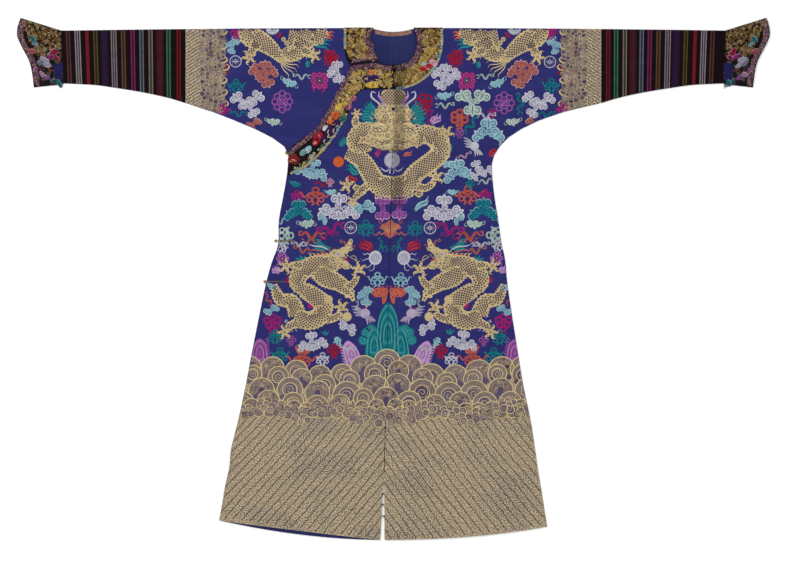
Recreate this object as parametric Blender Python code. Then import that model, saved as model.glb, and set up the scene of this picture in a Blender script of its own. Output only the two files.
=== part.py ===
"""Silk dragon robe, laid flat on its back with its sleeves spread.

Frame: +X along the sleeves towards the wearer's left, +Y towards the shoulders, +Z up.
The robe rests on z = 0, and the origin is under the middle of its box.

Every cloth piece is drawn on the robe's pattern and then folded over the shoulders.
x is the distance from the centre seam, and run is the distance along the cloth from
the shoulder fold: above 0 on the front, below 0 on the back. rise is the distance out
from the cloth's inner face, so a band that lies on a panel uses the panel's own points.
"""
from math import cos, pi, radians, sin, sqrt

import bmesh
import bpy
from mathutils import Vector

# ---------------------------------------------------------------- driving dimensions
CLOTH = 0.0014            # tapestry silk with its lining
BAND = 0.0010             # collar, overlap and facing silk
GAP = 0.0003              # between pieces, at seams and between layers
LENGTH = 1.397            # shoulder fold to hem, down the centre
SLEEVE_SEAM = 0.567       # centre to the seam of the striped sleeve
CUFF_SEAM_TOP = 0.9056    # centre to the cuff's seam, at the fold
HALF_SPAN = 1.0273        # centre to the outermost point of a cuff
CUFF_RISE = 0.028         # the cuff's top corner above the shoulder
SHOULDER_DROP = 0.007     # how far the shoulder line falls by the cuff's seam
SHOULDER_Y = (LENGTH - CUFF_RISE) / 2

SWING = 0.030             # the skirt lies this far towards -X by the hem
SWING_START = 0.22
FOLD_SPACE_NECK = 0.0032  # free height inside the shoulder fold, at the neck
FOLD_SPACE_CUFF = 0.0022  # and at the cuffs
LAID_DOWN = 0.33          # below this the layers lie close
SEAM_LIFT_WIDTH = 0.15    # the left front climbs to the overlap across this width
EDGE_ROLL = 0.030         # the front rolls down to the back over this width

NECK_HALF = 0.062         # front neck opening
NECK_HALF_AT_FOLD = 0.055
NECK_WIDEST = 0.040
NECK_DEPTH = 0.101
NECK_SQUARE = 2.5         # above 2 the neck is squarer than an ellipse
BACK_NECK_HALF = 0.050
BACK_NECK_DEPTH = 0.0075
RING_HALF = 0.134         # outer edge of the collar ring
RING_DEPTH = 0.167
BACK_RING_DEPTH = 0.070
RING_LIFT_INNER = 1.08    # the back rises over the collar inside this many ring radii
RING_LIFT_OUTER = 2.30    # and lies on the ground outside this many
BINDING_WIDTH = 0.012     # neck binding turned onto the inside of the back
LINING_HALF = 0.075       # the lining seen through the neck
LINING_BOTTOM = 0.128

VENT_TOP = 1.212          # below this the centre seams are open
VENT_HALF = 0.0060        # half of the vent's width at the hem
HEM_RAMP_TOP = 0.95       # the hem's curve fades out above this
FLAP_BOTTOM = 1.350       # the hidden under flap ends above the hem
FLAP_INSET = 0.015        # and stays this far from the centre seam
HEM_CRESCENT = 0.010      # the overlap's hem is this much shorter than the back's
FACING_TOP = 1.374
OVERLAP_INSET = 0.0015    # the overlap's free edge, inside the side seam

BALL_RADIUS = 0.0042
CORD_HALF_WIDTH = 0.0024
CORD_HALF_HEIGHT = 0.0010

# The body's outline: distance down from the fold, then the half width on the wearer's
# left (+X) and on the wearer's right (-X).
OUTLINE = (
    (0.2020, 0.5670, 0.5670),
    (0.2170, 0.5000, 0.5240),
    (0.2345, 0.4420, 0.4700),
    (0.2530, 0.3930, 0.4270),
    (0.2690, 0.3600, 0.3880),
    (0.2900, 0.3260, 0.3440),
    (0.3060, 0.3070, 0.3170),
    (0.3220, 0.2930, 0.2960),
    (0.3370, 0.2834, 0.2840),
    (0.3520, 0.2760, 0.2835),
    (0.3700, 0.2725, 0.2840),
    (0.4010, 0.2740, 0.2860),
    (0.4610, 0.2820, 0.2950),
    (0.5250, 0.2940, 0.3050),
    (0.5800, 0.3030, 0.3040),
    (0.6020, 0.3080, 0.3070),
    (0.6340, 0.3156, 0.3200),
    (0.7030, 0.3240, 0.3370),
    (0.8190, 0.3445, 0.3580),
    (0.9610, 0.3710, 0.3820),
    (1.0700, 0.3950, 0.4000),
    (1.1740, 0.4120, 0.4187),
    (1.2340, 0.4210, 0.4220),
    (1.3000, 0.4325, 0.4325),
    (1.3500, 0.4410, 0.4385),
    (LENGTH, 0.4496, 0.4458),
)
# The striped sleeve's lower edge: distance from the centre, distance below the fold.
SLEEVE_EDGE = (
    (0.5670, 0.2020),
    (0.6120, 0.1881),
    (0.6560, 0.1773),
    (0.7030, 0.1678),
    (0.7600, 0.1581),
    (0.8090, 0.1504),
    (0.8560, 0.1467),
    (0.8990, 0.1441),
)
# The hoof cuff's outer edge: share of the way down it, distance from the centre.
CUFF_EDGE = (
    (0.00, 1.0180),
    (0.10, 1.0240),
    (0.19, HALF_SPAN),
    (0.28, 1.0260),
    (0.41, 1.0145),
    (0.60, 0.9945),
    (0.80, 0.9855),
    (1.00, 0.9815),
)
CUFF_CORNER_DOWN = 0.162  # the cuff's lower corner, below the neck's shoulder line
# The hem's curve for each side: rise at the side seam, power of the curve.
HEM_CURVE = {"left": (0.038, 2.2), "right": (0.055, 1.9)}
# The overlap's upper edge: distance from the centre seam, distance down.
OVERLAP_EDGE = (
    (0.0500, 0.0910),
    (0.0700, 0.0935),
    (0.0930, 0.0965),
    (0.1175, 0.0995),
    (0.1190, 0.1025),
    (0.1210, 0.1150),
    (0.1360, 0.1420),
    (0.1510, 0.1690),
    (0.1680, 0.2010),
    (0.1840, 0.2320),
    (0.2080, 0.2730),
    (0.2460, 0.3010),
    (0.2810, 0.3280),
)
# The overlap band: its upper edge, then its lower edge, each as distance from the
# centre seam and distance down.
OVERLAP_BAND = (
    (0.0002, 0.1013, 0.0002, 0.1670),
    (0.0180, 0.1000, 0.0280, 0.1675),
    (0.0320, 0.0972, 0.0500, 0.1680),
    (0.0440, 0.0912, 0.0680, 0.1680),
    (0.0800, 0.0952, 0.0800, 0.1680),
    (0.1170, 0.1003, 0.0880, 0.1700),
    (0.1205, 0.1150, 0.0940, 0.1760),
    (0.1355, 0.1420, 0.1030, 0.1890),
    (0.1505, 0.1690, 0.1120, 0.2050),
    (0.1675, 0.2010, 0.1210, 0.2260),
    (0.1835, 0.2320, 0.1350, 0.2550),
    (0.2075, 0.2730, 0.1580, 0.2950),
    (0.2450, 0.3010, 0.1930, 0.3430),
    (0.2790, 0.3270, 0.2350, 0.3800),
    (0.2815, 0.3370, 0.2830, 0.4030),
)
# The collar's end on the wearer's right: inner edge, then outer edge, as above.
COLLAR_END = (
    (0.0605, 0.0560, 0.1325, 0.0640),
    (0.0520, 0.0795, 0.1270, 0.0880),
    (0.0440, 0.0893, 0.1180, 0.0990),
)
# The side closures: distance down, the cord's length, the ball's centre outside the
# side edge, the layers under the cord.
CLOSURES = {
    "underarm": (0.340, 0.016, 0.0052, "band"),
    "waist": (0.580, 0.045, 0.0080, "overlap"),
    "hip": (0.691, 0.052, 0.0052, "overlap"),
}

ACROSS = (0.0, 0.12, 0.26, 0.40, 0.56, 0.72, 0.86, 0.95, 1.0)
BAND_ACROSS = (0.0, 0.33, 0.67, 1.0)
LAYER_SHARES = (1.0, 0.90, 0.72, 0.45, 0.20)   # rows down a sleeve or a cuff
CUFF_ACROSS = (0.0, 0.25, 0.50, 0.75, 1.0)
FOLD_STEPS = 6            # facets round the shoulder fold
FACING_STEPS = 5          # rows down a facing
SIGN = {"left": 1.0, "right": -1.0}
RAISED = CLOTH + GAP      # from one layer's inner face to the next layer's
UNDERARM_IN = 0.28        # the under cloth rises to the sleeve's height outside this
UNDERARM_OUT = 0.43
UNDERARM_TOP = 0.22
UNDERARM_BOTTOM = 0.34


# ---------------------------------------------------------------- small mathematics
def smooth(value):
    """0 below 0, 1 above 1 and an even S between."""
    value = min(1.0, max(0.0, value))
    return value * value * (3.0 - 2.0 * value)


def ramp(value, low, high):
    return smooth((value - low) / (high - low))


def mix(low, high, share):
    return low + (high - low) * share


def from_table(table, value, column, key=0):
    """Read a column of a table whose key column increases."""
    if value <= table[0][key]:
        return table[0][column]
    for before, after in zip(table, table[1:]):
        if value <= after[key]:
            share = (value - before[key]) / (after[key] - before[key])
            return mix(before[column], after[column], share)
    return table[-1][column]


def segment_distance(point, start, end):
    along = end - start
    share = (point - start).dot(along) / along.length_squared
    share = min(1.0, max(0.0, share))
    return (point - start - along * share).length


# ---------------------------------------------------------------- the pattern
def half_width(side, down):
    """Half width of the body, from the centre seam to the side edge."""
    return from_table(OUTLINE, down, 1 if side == "left" else 2)


def crest(x):
    """Where the shoulder line lies along Y; the cuffs' top edges climb."""
    outward = abs(x)
    if outward <= CUFF_SEAM_TOP:
        return SHOULDER_Y - SHOULDER_DROP * (outward / CUFF_SEAM_TOP) ** 2
    share = (outward - CUFF_SEAM_TOP) / (CUFF_EDGE[0][1] - CUFF_SEAM_TOP)
    return SHOULDER_Y + mix(-SHOULDER_DROP, CUFF_RISE, min(1.0, share))


def cuff_down(x):
    """Depth of the cuff below its own top edge."""
    inner_x, inner_down = SLEEVE_EDGE[-1]
    corner_x = CUFF_EDGE[-1][1]
    corner = crest(corner_x) - SHOULDER_Y + CUFF_CORNER_DOWN
    if x <= corner_x:
        return mix(inner_down, corner, max(0.0, x - inner_x) / (corner_x - inner_x))
    return crest(x) - SHOULDER_Y + CUFF_CORNER_DOWN


def sewn_edge(side):
    """The lower edge of the cuff and sleeve and the side edge, down to the hem."""
    corner_x = CUFF_EDGE[-1][1]
    cuff = [Vector((corner_x, cuff_down(corner_x)))]
    sleeve = [Vector((x, down)) for x, down in reversed(SLEEVE_EDGE)]
    body = [Vector((half_width(side, row[0]), row[0])) for row in OUTLINE[1:]]
    return cuff + sleeve + body


SEWN_EDGES = {side: sewn_edge(side) for side in SIGN}


def edge_distance(side, x, down):
    """Distance from a point of the pattern to that side's sewn edge."""
    point = Vector((abs(x), down))
    line = SEWN_EDGES[side]
    return min(segment_distance(point, start, end) for start, end in zip(line, line[1:]))


def neck_half(down):
    """Half width of the front neck opening."""
    if down >= NECK_DEPTH:
        return 0.0
    if down < NECK_WIDEST:
        share = 1.0 - down / NECK_WIDEST
        return NECK_HALF - (NECK_HALF - NECK_HALF_AT_FOLD) * share * share
    share = (down - NECK_WIDEST) / (NECK_DEPTH - NECK_WIDEST)
    return NECK_HALF * (1.0 - share ** NECK_SQUARE) ** (1.0 / NECK_SQUARE)


def neck_point(angle):
    """A point of the front neck's curve, from its lowest point (0) to its side."""
    power = 2.0 / NECK_SQUARE
    x = NECK_HALF * sin(angle) ** power
    down = NECK_WIDEST + (NECK_DEPTH - NECK_WIDEST) * cos(angle) ** power
    return x, down


def seam_half(down):
    """Half of the space at the centre seams, which opens into the vent."""
    opening = max(0.0, (down - VENT_TOP) / (LENGTH - VENT_TOP))
    return GAP / 2 + VENT_HALF * opening


def fold_radius(x):
    """Inner radius of the shoulder fold."""
    share = min(1.0, abs(x) / CUFF_SEAM_TOP)
    return mix(FOLD_SPACE_NECK, FOLD_SPACE_CUFF, share) / 2


def fold_run(x):
    """Cloth from the fold's crest to where it lies flat."""
    return (fold_radius(x) + CLOTH / 2) * pi / 2


def fold_down(x):
    """Distance below the shoulder line at which the cloth lies flat."""
    return fold_radius(x) + CLOTH


def front_space(layer, x, down):
    """Free height under the front cloth, above the back's inner face."""
    side = "right" if x < 0 else "left"
    at_fold = 2 * fold_radius(x)
    settled = smooth(down / LAID_DOWN)
    laid = RAISED + GAP
    if layer == "under":
        sleeve = ramp(abs(x), UNDERARM_IN, UNDERARM_OUT)
        sleeve *= 1.0 - ramp(down, UNDERARM_TOP, UNDERARM_BOTTOM)
        laid = mix(GAP, laid, sleeve)
    space = mix(at_fold, laid, settled)
    if layer == "left":
        beside_seam = mix(at_fold, GAP, settled) + RAISED
        near = smooth(down / NECK_DEPTH) * (1.0 - smooth(abs(x) / SEAM_LIFT_WIDTH))
        space = mix(space, beside_seam, near)
    return mix(GAP, space, smooth(edge_distance(side, x, down) / EDGE_ROLL))


def collar_lift(x, down):
    """How far the collar under the back of the neck holds the robe off the ground."""
    depth = fold_down(0.0) + BACK_RING_DEPTH
    radii = sqrt((x / RING_HALF) ** 2 + (down / depth) ** 2)
    return (BAND + GAP) * (1.0 - ramp(radii, RING_LIFT_INNER, RING_LIFT_OUTER))


def hem_lift(x, down, crescent=0.0):
    """How far the curved hem, and the cloth near it, lies above a straight one."""
    side = "right" if x < 0 else "left"
    rise, power = HEM_CURVE[side]
    share = min(1.0, abs(x) / half_width(side, down))
    near_hem = ramp(down, HEM_RAMP_TOP, LENGTH)
    return near_hem * (rise * share ** power + crescent * sin(pi * share))


def on_cloth(layer, x, run, rise, crescent=0.0):
    """The point at rise from the inner face of the folded cloth."""
    radius = fold_radius(x)
    flat_from = fold_run(x)
    if abs(run) <= flat_from:
        turn = run / flat_from * pi / 2
        out = radius + rise
        y = crest(x) - fold_down(x) + out * cos(turn)
        height = collar_lift(x, 0.0) + CLOTH + radius + out * sin(turn)
        return Vector((x, y, height))
    down = fold_down(x) + abs(run) - flat_from
    swing = -SWING * max(0.0, (down - SWING_START) / (LENGTH - SWING_START))
    y = crest(x) - down + hem_lift(x, down, crescent)
    inner_face = collar_lift(x, down) + CLOTH
    if run < 0:
        return Vector((x + swing, y, inner_face - rise))
    return Vector((x + swing, y, inner_face + front_space(layer, x, down) + rise))


def run_at(x, down):
    """The run along the cloth at a distance below the shoulder line."""
    return down - fold_down(x) + fold_run(x)


# ---------------------------------------------------------------- solids
def material(name, colour, roughness, metallic=0.0):
    made = bpy.data.materials.new(name)
    made.use_nodes = True
    shader = made.node_tree.nodes["Principled BSDF"]
    shader.inputs["Base Color"].default_value = (*colour, 1.0)
    shader.inputs["Roughness"].default_value = roughness
    shader.inputs["Metallic"].default_value = metallic
    return made


def finish(name, body, skin):
    """Make the object, with its faces turned outward."""
    mesh = bpy.data.meshes.new(name)
    bmesh.ops.recalc_face_normals(body, faces=body.faces[:])
    body.to_mesh(mesh)
    body.free()
    mesh.shade_smooth()
    mesh.set_sharp_from_angle(angle=radians(40))
    mesh.materials.append(skin)
    piece = bpy.data.objects.new(name, mesh)
    bpy.context.scene.collection.objects.link(piece)


def rim(grid):
    """The vertices round a grid, in order."""
    right = [row[-1] for row in grid[1:]]
    bottom = grid[-1][-2::-1]
    left = [row[0] for row in grid[-2:0:-1]]
    return grid[0] + right + bottom + left


def wall(name, inner_rows, outer_rows, skin):
    """A closed cloth wall between two grids of points."""
    body = bmesh.new()
    inner = [[body.verts.new(point) for point in row] for row in inner_rows]
    outer = [[body.verts.new(point) for point in row] for row in outer_rows]
    for grid in (inner, outer):
        for row, after in zip(grid, grid[1:]):
            for column in range(len(row) - 1):
                corners = (row[column], row[column + 1], after[column + 1], after[column])
                body.faces.new(corners)
    rim_inner = rim(inner)
    rim_outer = rim(outer)
    for index, corner in enumerate(rim_inner):
        after = (index + 1) % len(rim_inner)
        body.faces.new((corner, rim_inner[after], rim_outer[after], rim_outer[index]))
    finish(name, body, skin)


def cloth_piece(name, layer, pattern, rise, thickness, skin, crescent=0.0):
    """A wall of cloth from rows of (x, run) on the pattern."""
    def laid(height):
        return [[on_cloth(layer, x, run, height, crescent) for x, run in row]
                for row in pattern]
    wall(name, laid(rise), laid(rise + thickness), skin)


def spread(start, end, across=ACROSS):
    """A row of points between two points of the pattern."""
    return [(mix(start[0], end[0], share), mix(start[1], end[1], share))
            for share in across]


def level_row(start_x, end_x, down, face=1.0, across=ACROSS):
    """A row at one distance down the front (face 1) or the back (face -1)."""
    start = (start_x, face * run_at(start_x, down))
    end = (end_x, face * run_at(end_x, down))
    return spread(start, end, across)


def fold_rows(start_x, end_x, across=ACROSS, turns=(1.0, -1.0)):
    """Rows round the shoulder fold, from the front to the back unless turned."""
    rows = []
    for step in range(FOLD_STEPS + 1):
        turn = mix(turns[0], turns[1], step / FOLD_STEPS)
        start = (start_x, turn * fold_run(start_x))
        end = (end_x, turn * fold_run(end_x))
        rows.append(spread(start, end, across))
    return rows


# ---------------------------------------------------------------- the robe's pieces
def body_panel(name, side, skin):
    """One loom width: front, over the shoulder, and back, with its upper sleeve."""
    sign = SIGN[side]
    under = side == "right"
    curve = [neck_point(radians(angle))[1] for angle in (0, 14, 28, 42, 56, 72)]
    downs = [row[0] for row in OUTLINE]
    front = downs + [0.165, 0.130, 0.115] + curve + [NECK_WIDEST, NECK_WIDEST / 2]
    rows = []
    for down in sorted(front, reverse=True):
        inner = max(neck_half(down), FLAP_INSET if under else seam_half(down))
        if not under or down <= FLAP_BOTTOM:
            rows.append(level_row(sign * inner, sign * half_width(side, down), down))
    rows += fold_rows(sign * NECK_HALF_AT_FOLD, sign * SLEEVE_SEAM)
    flat_down = fold_down(BACK_NECK_HALF)
    for share in (0.15, 0.45, 0.75, 0.94):
        inner = BACK_NECK_HALF * sqrt(1.0 - share)
        down = flat_down + BACK_NECK_DEPTH * share
        rows.append(level_row(sign * inner, sign * SLEEVE_SEAM, down, -1.0))
    for down in [flat_down + BACK_NECK_DEPTH, 0.045, 0.080, 0.100, 0.130, 0.165] + downs:
        outer = sign * half_width(side, down)
        rows.append(level_row(sign * seam_half(down), outer, down, -1.0))
    cloth_piece(name, "under" if under else "left", rows, 0.0, CLOTH, skin)


def overlap_panel(skin):
    """The front's overlapping half, closed at the wearer's right side."""
    edge = [(down, outer) for outer, down in OVERLAP_EDGE]
    below = [row[0] for row in OUTLINE if row[0] > edge[-1][0]]
    edge += [(down, half_width("right", down) - OVERLAP_INSET) for down in below]
    rows = []
    for down, outer in edge:
        inner = max(neck_half(down), seam_half(down))
        rows.append(level_row(-inner, -outer, down))
    cloth_piece("overlap_panel", "under", rows, RAISED, CLOTH, skin, HEM_CRESCENT)


def turned_piece(name, sign, columns, skin):
    """A tube folded along its top and sewn below, from columns of (x at share, depth)."""
    rows = []
    for share in LAYER_SHARES:
        points = [(x_at(share), depth_at(share)) for x_at, depth_at in columns]
        rows.append([(sign * x, run_at(x, depth * share)) for x, depth in points])
    for step in range(FOLD_STEPS + 1):
        turn = 1.0 - 2.0 * step / FOLD_STEPS
        rows.append([(sign * x_at(0.0), turn * fold_run(x_at(0.0))) for x_at, _ in columns])
    front = rows[:len(LAYER_SHARES)]
    rows += [[(x, -run) for x, run in row] for row in reversed(front)]
    cloth_piece(name, "left", rows, 0.0, CLOTH, skin)


def sleeve_column(x):
    depth = from_table(SLEEVE_EDGE, x, 1)
    return (lambda share: mix(x, min(x, SLEEVE_EDGE[-1][0]), share)), (lambda share: depth)


def striped_sleeve(name, side, skin):
    """The lower sleeve, from the panel's end to the cuff."""
    first = SLEEVE_SEAM + GAP
    between = [row[0] for row in SLEEVE_EDGE[1:-1]]
    columns = [sleeve_column(x) for x in [first] + between + [CUFF_SEAM_TOP]]
    turned_piece(name, SIGN[side], columns, skin)


def cuff_column(across):
    def x_at(share):
        seam = mix(CUFF_SEAM_TOP, SLEEVE_EDGE[-1][0], share) + GAP
        return mix(seam, from_table(CUFF_EDGE, share, 1), across)

    def depth_at(share):
        return cuff_down(x_at(share))
    return x_at, depth_at


def hoof_cuff(name, side, skin):
    """The flared cuff, with its top corner above the shoulder line."""
    columns = [cuff_column(across) for across in CUFF_ACROSS]
    turned_piece(name, SIGN[side], columns, skin)


def collar_band(skin):
    """The ring round the neck: front left, over both shoulders, and the back."""
    def both(inner, outer):
        return spread((inner[0], run_at(inner[0], inner[1])),
                      (outer[0], run_at(outer[0], outer[1])), BAND_ACROSS)

    rows = []
    for angle in range(0, 91, 15):
        turn = radians(angle)
        x, down = neck_point(turn)
        outer_down = NECK_WIDEST + (RING_DEPTH - NECK_WIDEST) * cos(turn)
        rows.append(both((max(x, GAP / 2), down),
                         (max(RING_HALF * sin(turn), GAP / 2), outer_down)))
    near_fold = NECK_WIDEST / 2
    rows.append(both((neck_half(near_fold), near_fold), (RING_HALF, near_fold)))
    rows += fold_rows(NECK_HALF_AT_FOLD, RING_HALF, BAND_ACROSS)
    for angle in range(75, -76, -15):
        turn = radians(angle)
        inner_x = BACK_NECK_HALF * sin(turn)
        inner_down = fold_down(0.0) + BACK_NECK_DEPTH * cos(turn) ** 2
        outer_x = RING_HALF * sin(turn)
        outer_down = fold_down(0.0) + BACK_RING_DEPTH * cos(turn)
        start = (inner_x, -run_at(inner_x, inner_down))
        rows.append(spread(start, (outer_x, -run_at(outer_x, outer_down)), BAND_ACROSS))
    rows += fold_rows(-NECK_HALF_AT_FOLD, -RING_HALF, BAND_ACROSS, (-1.0, 1.0))
    for down in (near_fold, NECK_WIDEST):
        rows.append(both((-neck_half(down), down), (-RING_HALF, down)))
    for inner_x, inner_down, outer_x, outer_down in COLLAR_END:
        rows.append(both((-inner_x, inner_down), (-outer_x, outer_down)))
    front_layers(rows, skin)


def front_layers(rows, skin):
    """Lay the collar on the left panel and, past the centre, on the right panel."""
    def laid(height):
        made = []
        for row in rows:
            layer = "left" if row[0][0] > 0 else "under"
            made.append([on_cloth(layer, x, run, height) for x, run in row])
        return made
    wall("collar_band", laid(RAISED), laid(RAISED + BAND), skin)


def overlap_band(skin):
    """The edging that carries the collar on, down to the underarm."""
    rows = []
    for inner_x, inner_down, outer_x, outer_down in OVERLAP_BAND:
        start = (-inner_x, run_at(inner_x, inner_down))
        end = (-outer_x, run_at(outer_x, outer_down))
        rows.append(spread(start, end, BAND_ACROSS))
    cloth_piece("overlap_band", "under", rows, 2 * RAISED, BAND, skin)


def back_neck_down(x):
    """Distance down the back to the neck's edge."""
    share = min(1.0, abs(x) / BACK_NECK_HALF)
    return fold_down(0.0) + BACK_NECK_DEPTH * (1.0 - share * share)


def inside_the_back(name, columns, skin):
    """A facing on the inside of the back, from columns of (x, top, bottom)."""
    rows = []
    for step in range(FACING_STEPS + 1):
        share = step / FACING_STEPS
        downs = [(x, mix(top, bottom, share)) for x, top, bottom in columns]
        rows.append([(x, -run_at(x, down)) for x, down in downs])
    cloth_piece(name, "left", rows, -GAP - BAND, BAND, skin)


def inside_pieces(binding_skin, lining_skin):
    """What shows of the inside: neck binding, neck lining and the hem's facing."""
    across = [BACK_NECK_HALF * share / 6 for share in range(-6, 7)]
    binding = [(x, back_neck_down(x), back_neck_down(x) + BINDING_WIDTH) for x in across]
    inside_the_back("neck_binding", binding, binding_skin)
    across = [-LINING_HALF] + across + [LINING_HALF]
    below = BINDING_WIDTH + GAP
    lining = [(x, back_neck_down(x) + below, LINING_BOTTOM) for x in across]
    inside_the_back("neck_lining", lining, lining_skin)
    across = [mix(0.012, half_width("right", LENGTH) - 0.004, share / 9) for share in range(10)]
    facing = [(-x, FACING_TOP, LENGTH) for x in across]
    inside_the_back("hem_facing", facing, lining_skin)


def ball_button(name, place, skin):
    body = bmesh.new()
    bmesh.ops.create_uvsphere(body, u_segments=14, v_segments=8, radius=BALL_RADIUS)
    bmesh.ops.translate(body, verts=body.verts[:], vec=place)
    finish(name, body, skin)


def cord_loop(name, start, end, skin):
    """A flat loop of cord along X, from the ball's side to its sewn end."""
    sides = 8
    steps = 4
    body = bmesh.new()
    rings = []
    for step in range(steps + 1):
        middle = start.lerp(end, step / steps)
        ring = []
        for side in range(sides):
            turn = 2 * pi * side / sides
            offset = Vector((0.0, CORD_HALF_WIDTH * cos(turn), CORD_HALF_HEIGHT * sin(turn)))
            ring.append(body.verts.new(middle + offset))
        rings.append(ring)
    for ring, after in zip(rings, rings[1:]):
        for side in range(sides):
            other = (side + 1) % sides
            body.faces.new((ring[side], ring[other], after[other], after[side]))
    body.faces.new(rings[0])
    body.faces.new(rings[-1])
    finish(name, body, skin)


def closures(ball_skin, cord_skin):
    """The ball buttons and loops down the wearer's right side."""
    for name, (down, length, outside, lies_on) in CLOSURES.items():
        x = -half_width("right", down)
        rise = 2 * RAISED + CORD_HALF_HEIGHT
        if lies_on == "band":
            rise += BAND + GAP
        edge = on_cloth("under", x, run_at(x, down), rise)
        ball = Vector((edge.x - outside, edge.y, BALL_RADIUS + GAP))
        ball_button("button_" + name, ball, ball_skin)
        start = Vector((ball.x + BALL_RADIUS + 2 * GAP, edge.y, edge.z))
        end = Vector((edge.x + length, edge.y, edge.z))
        cord_loop("loop_" + name, start, end, cord_skin)


def build():
    for old in list(bpy.data.objects):
        bpy.data.objects.remove(old, do_unlink=True)
    silk = material("blue dragon silk", (0.055, 0.058, 0.20), 0.55)
    striped = material("striped silk", (0.035, 0.015, 0.018), 0.6)
    black = material("black figured silk", (0.12, 0.08, 0.05), 0.55)
    brocade = material("purple and gold brocade", (0.25, 0.14, 0.20), 0.5)
    lining = material("plain blue lining", (0.030, 0.036, 0.13), 0.7)
    gilt = material("gilt brass", (0.60, 0.42, 0.16), 0.35, 1.0)
    cord = material("silk cord", (0.09, 0.07, 0.10), 0.6)
    body_panel("left_panel", "left", silk)
    body_panel("right_panel", "right", silk)
    overlap_panel(silk)
    for side in SIGN:
        striped_sleeve("sleeve_" + side, side, striped)
        hoof_cuff("cuff_" + side, side, black)
    collar_band(black)
    overlap_band(black)
    inside_pieces(brocade, lining)
    closures(gilt, cord)


build()
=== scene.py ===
"""Looks of the silk dragon robe, laid flat on its back and seen from straight above.

The cloth is a thin shell on the form of each CAD solid. Every figure of the design is
drawn by the functions below as raised threads that follow the cloth they lie on.

Pattern coordinates, used all through: x is the distance from the centre seam, above 0
on the wearer's left, and down is the distance below the shoulder fold. run is the same
distance along the cloth, and is below 0 on the back. Design tables are in millimetres.
"""

import random
from math import cos, hypot, pi, radians, sin, sqrt

import bmesh
import bpy
import numpy as np
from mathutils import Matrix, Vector


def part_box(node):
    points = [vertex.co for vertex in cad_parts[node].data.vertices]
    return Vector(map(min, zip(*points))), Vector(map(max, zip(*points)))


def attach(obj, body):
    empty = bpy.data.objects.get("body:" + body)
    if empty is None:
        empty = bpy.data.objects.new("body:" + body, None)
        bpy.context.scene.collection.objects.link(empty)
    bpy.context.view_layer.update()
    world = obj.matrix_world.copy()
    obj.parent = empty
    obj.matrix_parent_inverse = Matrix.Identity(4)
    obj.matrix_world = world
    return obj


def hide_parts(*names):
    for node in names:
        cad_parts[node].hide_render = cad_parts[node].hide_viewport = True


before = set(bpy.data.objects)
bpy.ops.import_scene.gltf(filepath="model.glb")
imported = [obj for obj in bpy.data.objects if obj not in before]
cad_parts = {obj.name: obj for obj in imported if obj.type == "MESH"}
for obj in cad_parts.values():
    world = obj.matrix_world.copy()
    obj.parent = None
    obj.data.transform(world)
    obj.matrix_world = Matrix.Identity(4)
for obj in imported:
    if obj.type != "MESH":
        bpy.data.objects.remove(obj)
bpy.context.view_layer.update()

# ================================================================ sizes, from the frame
MM = 0.001
GAP = 0.0003              # between one piece of cloth and the next
PANEL_LOW, PANEL_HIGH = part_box("left_panel")
SLEEVE_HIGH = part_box("sleeve_left")[1]
CUFF_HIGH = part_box("cuff_left")[1]
BINDING_LOW, BINDING_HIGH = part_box("neck_binding")
SHOULDER_Y = PANEL_HIGH.y
LENGTH = PANEL_HIGH.y - PANEL_LOW.y
SLEEVE_SEAM = PANEL_HIGH.x
CUFF_SEAM_TOP = SLEEVE_HIGH.x
HALF_SPAN = CUFF_HIGH.x
CUFF_RISE = CUFF_HIGH.y - SHOULDER_Y
BAND = BINDING_HIGH.z - BINDING_LOW.z
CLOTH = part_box("hem_facing")[0].z - GAP
RAISED = CLOTH + GAP      # from one layer's inner face to the next layer's

SWING = 0.030             # the skirt lies this far towards -X by the hem
SWING_START = 0.22
SHOULDER_DROP = 0.007     # the shoulder line falls this much by the cuff seam
FOLD_SPACE_NECK = 0.0032  # free space inside the shoulder fold, at the neck
FOLD_SPACE_CUFF = 0.0022  # and at the cuff
LAID_DOWN = 0.33          # the layers have settled on each other by this far down
SEAM_LIFT_WIDTH = 0.15    # how far from the centre the overlap still holds the cloth up
EDGE_ROLL = 0.030         # the layers close up over this distance from a sewn edge
NECK_HALF = 0.062
NECK_HALF_AT_FOLD = 0.055
NECK_WIDEST = 0.040
NECK_DEPTH = 0.101
NECK_SQUARE = 2.5
BACK_NECK_HALF = 0.050
BACK_NECK_DEPTH = 0.0075
RING_HALF = 0.134
RING_DEPTH = 0.167
BACK_RING_DEPTH = 0.070
RING_LIFT_INNER = 1.08
RING_LIFT_OUTER = 2.30
BINDING_WIDTH = 0.012
LINING_HALF = 0.075
LINING_BOTTOM = 0.128
VENT_TOP = 1.212
VENT_HALF = 0.0060
HEM_RAMP_TOP = 0.95
FLAP_BOTTOM = 1.350
FLAP_INSET = 0.015
HEM_CRESCENT = 0.010
FACING_TOP = 1.374
OVERLAP_INSET = 0.0015
UNDERARM_IN = 0.28
UNDERARM_OUT = 0.43
UNDERARM_TOP = 0.22
UNDERARM_BOTTOM = 0.34
SIGN = {"left": 1.0, "right": -1.0}

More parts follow.
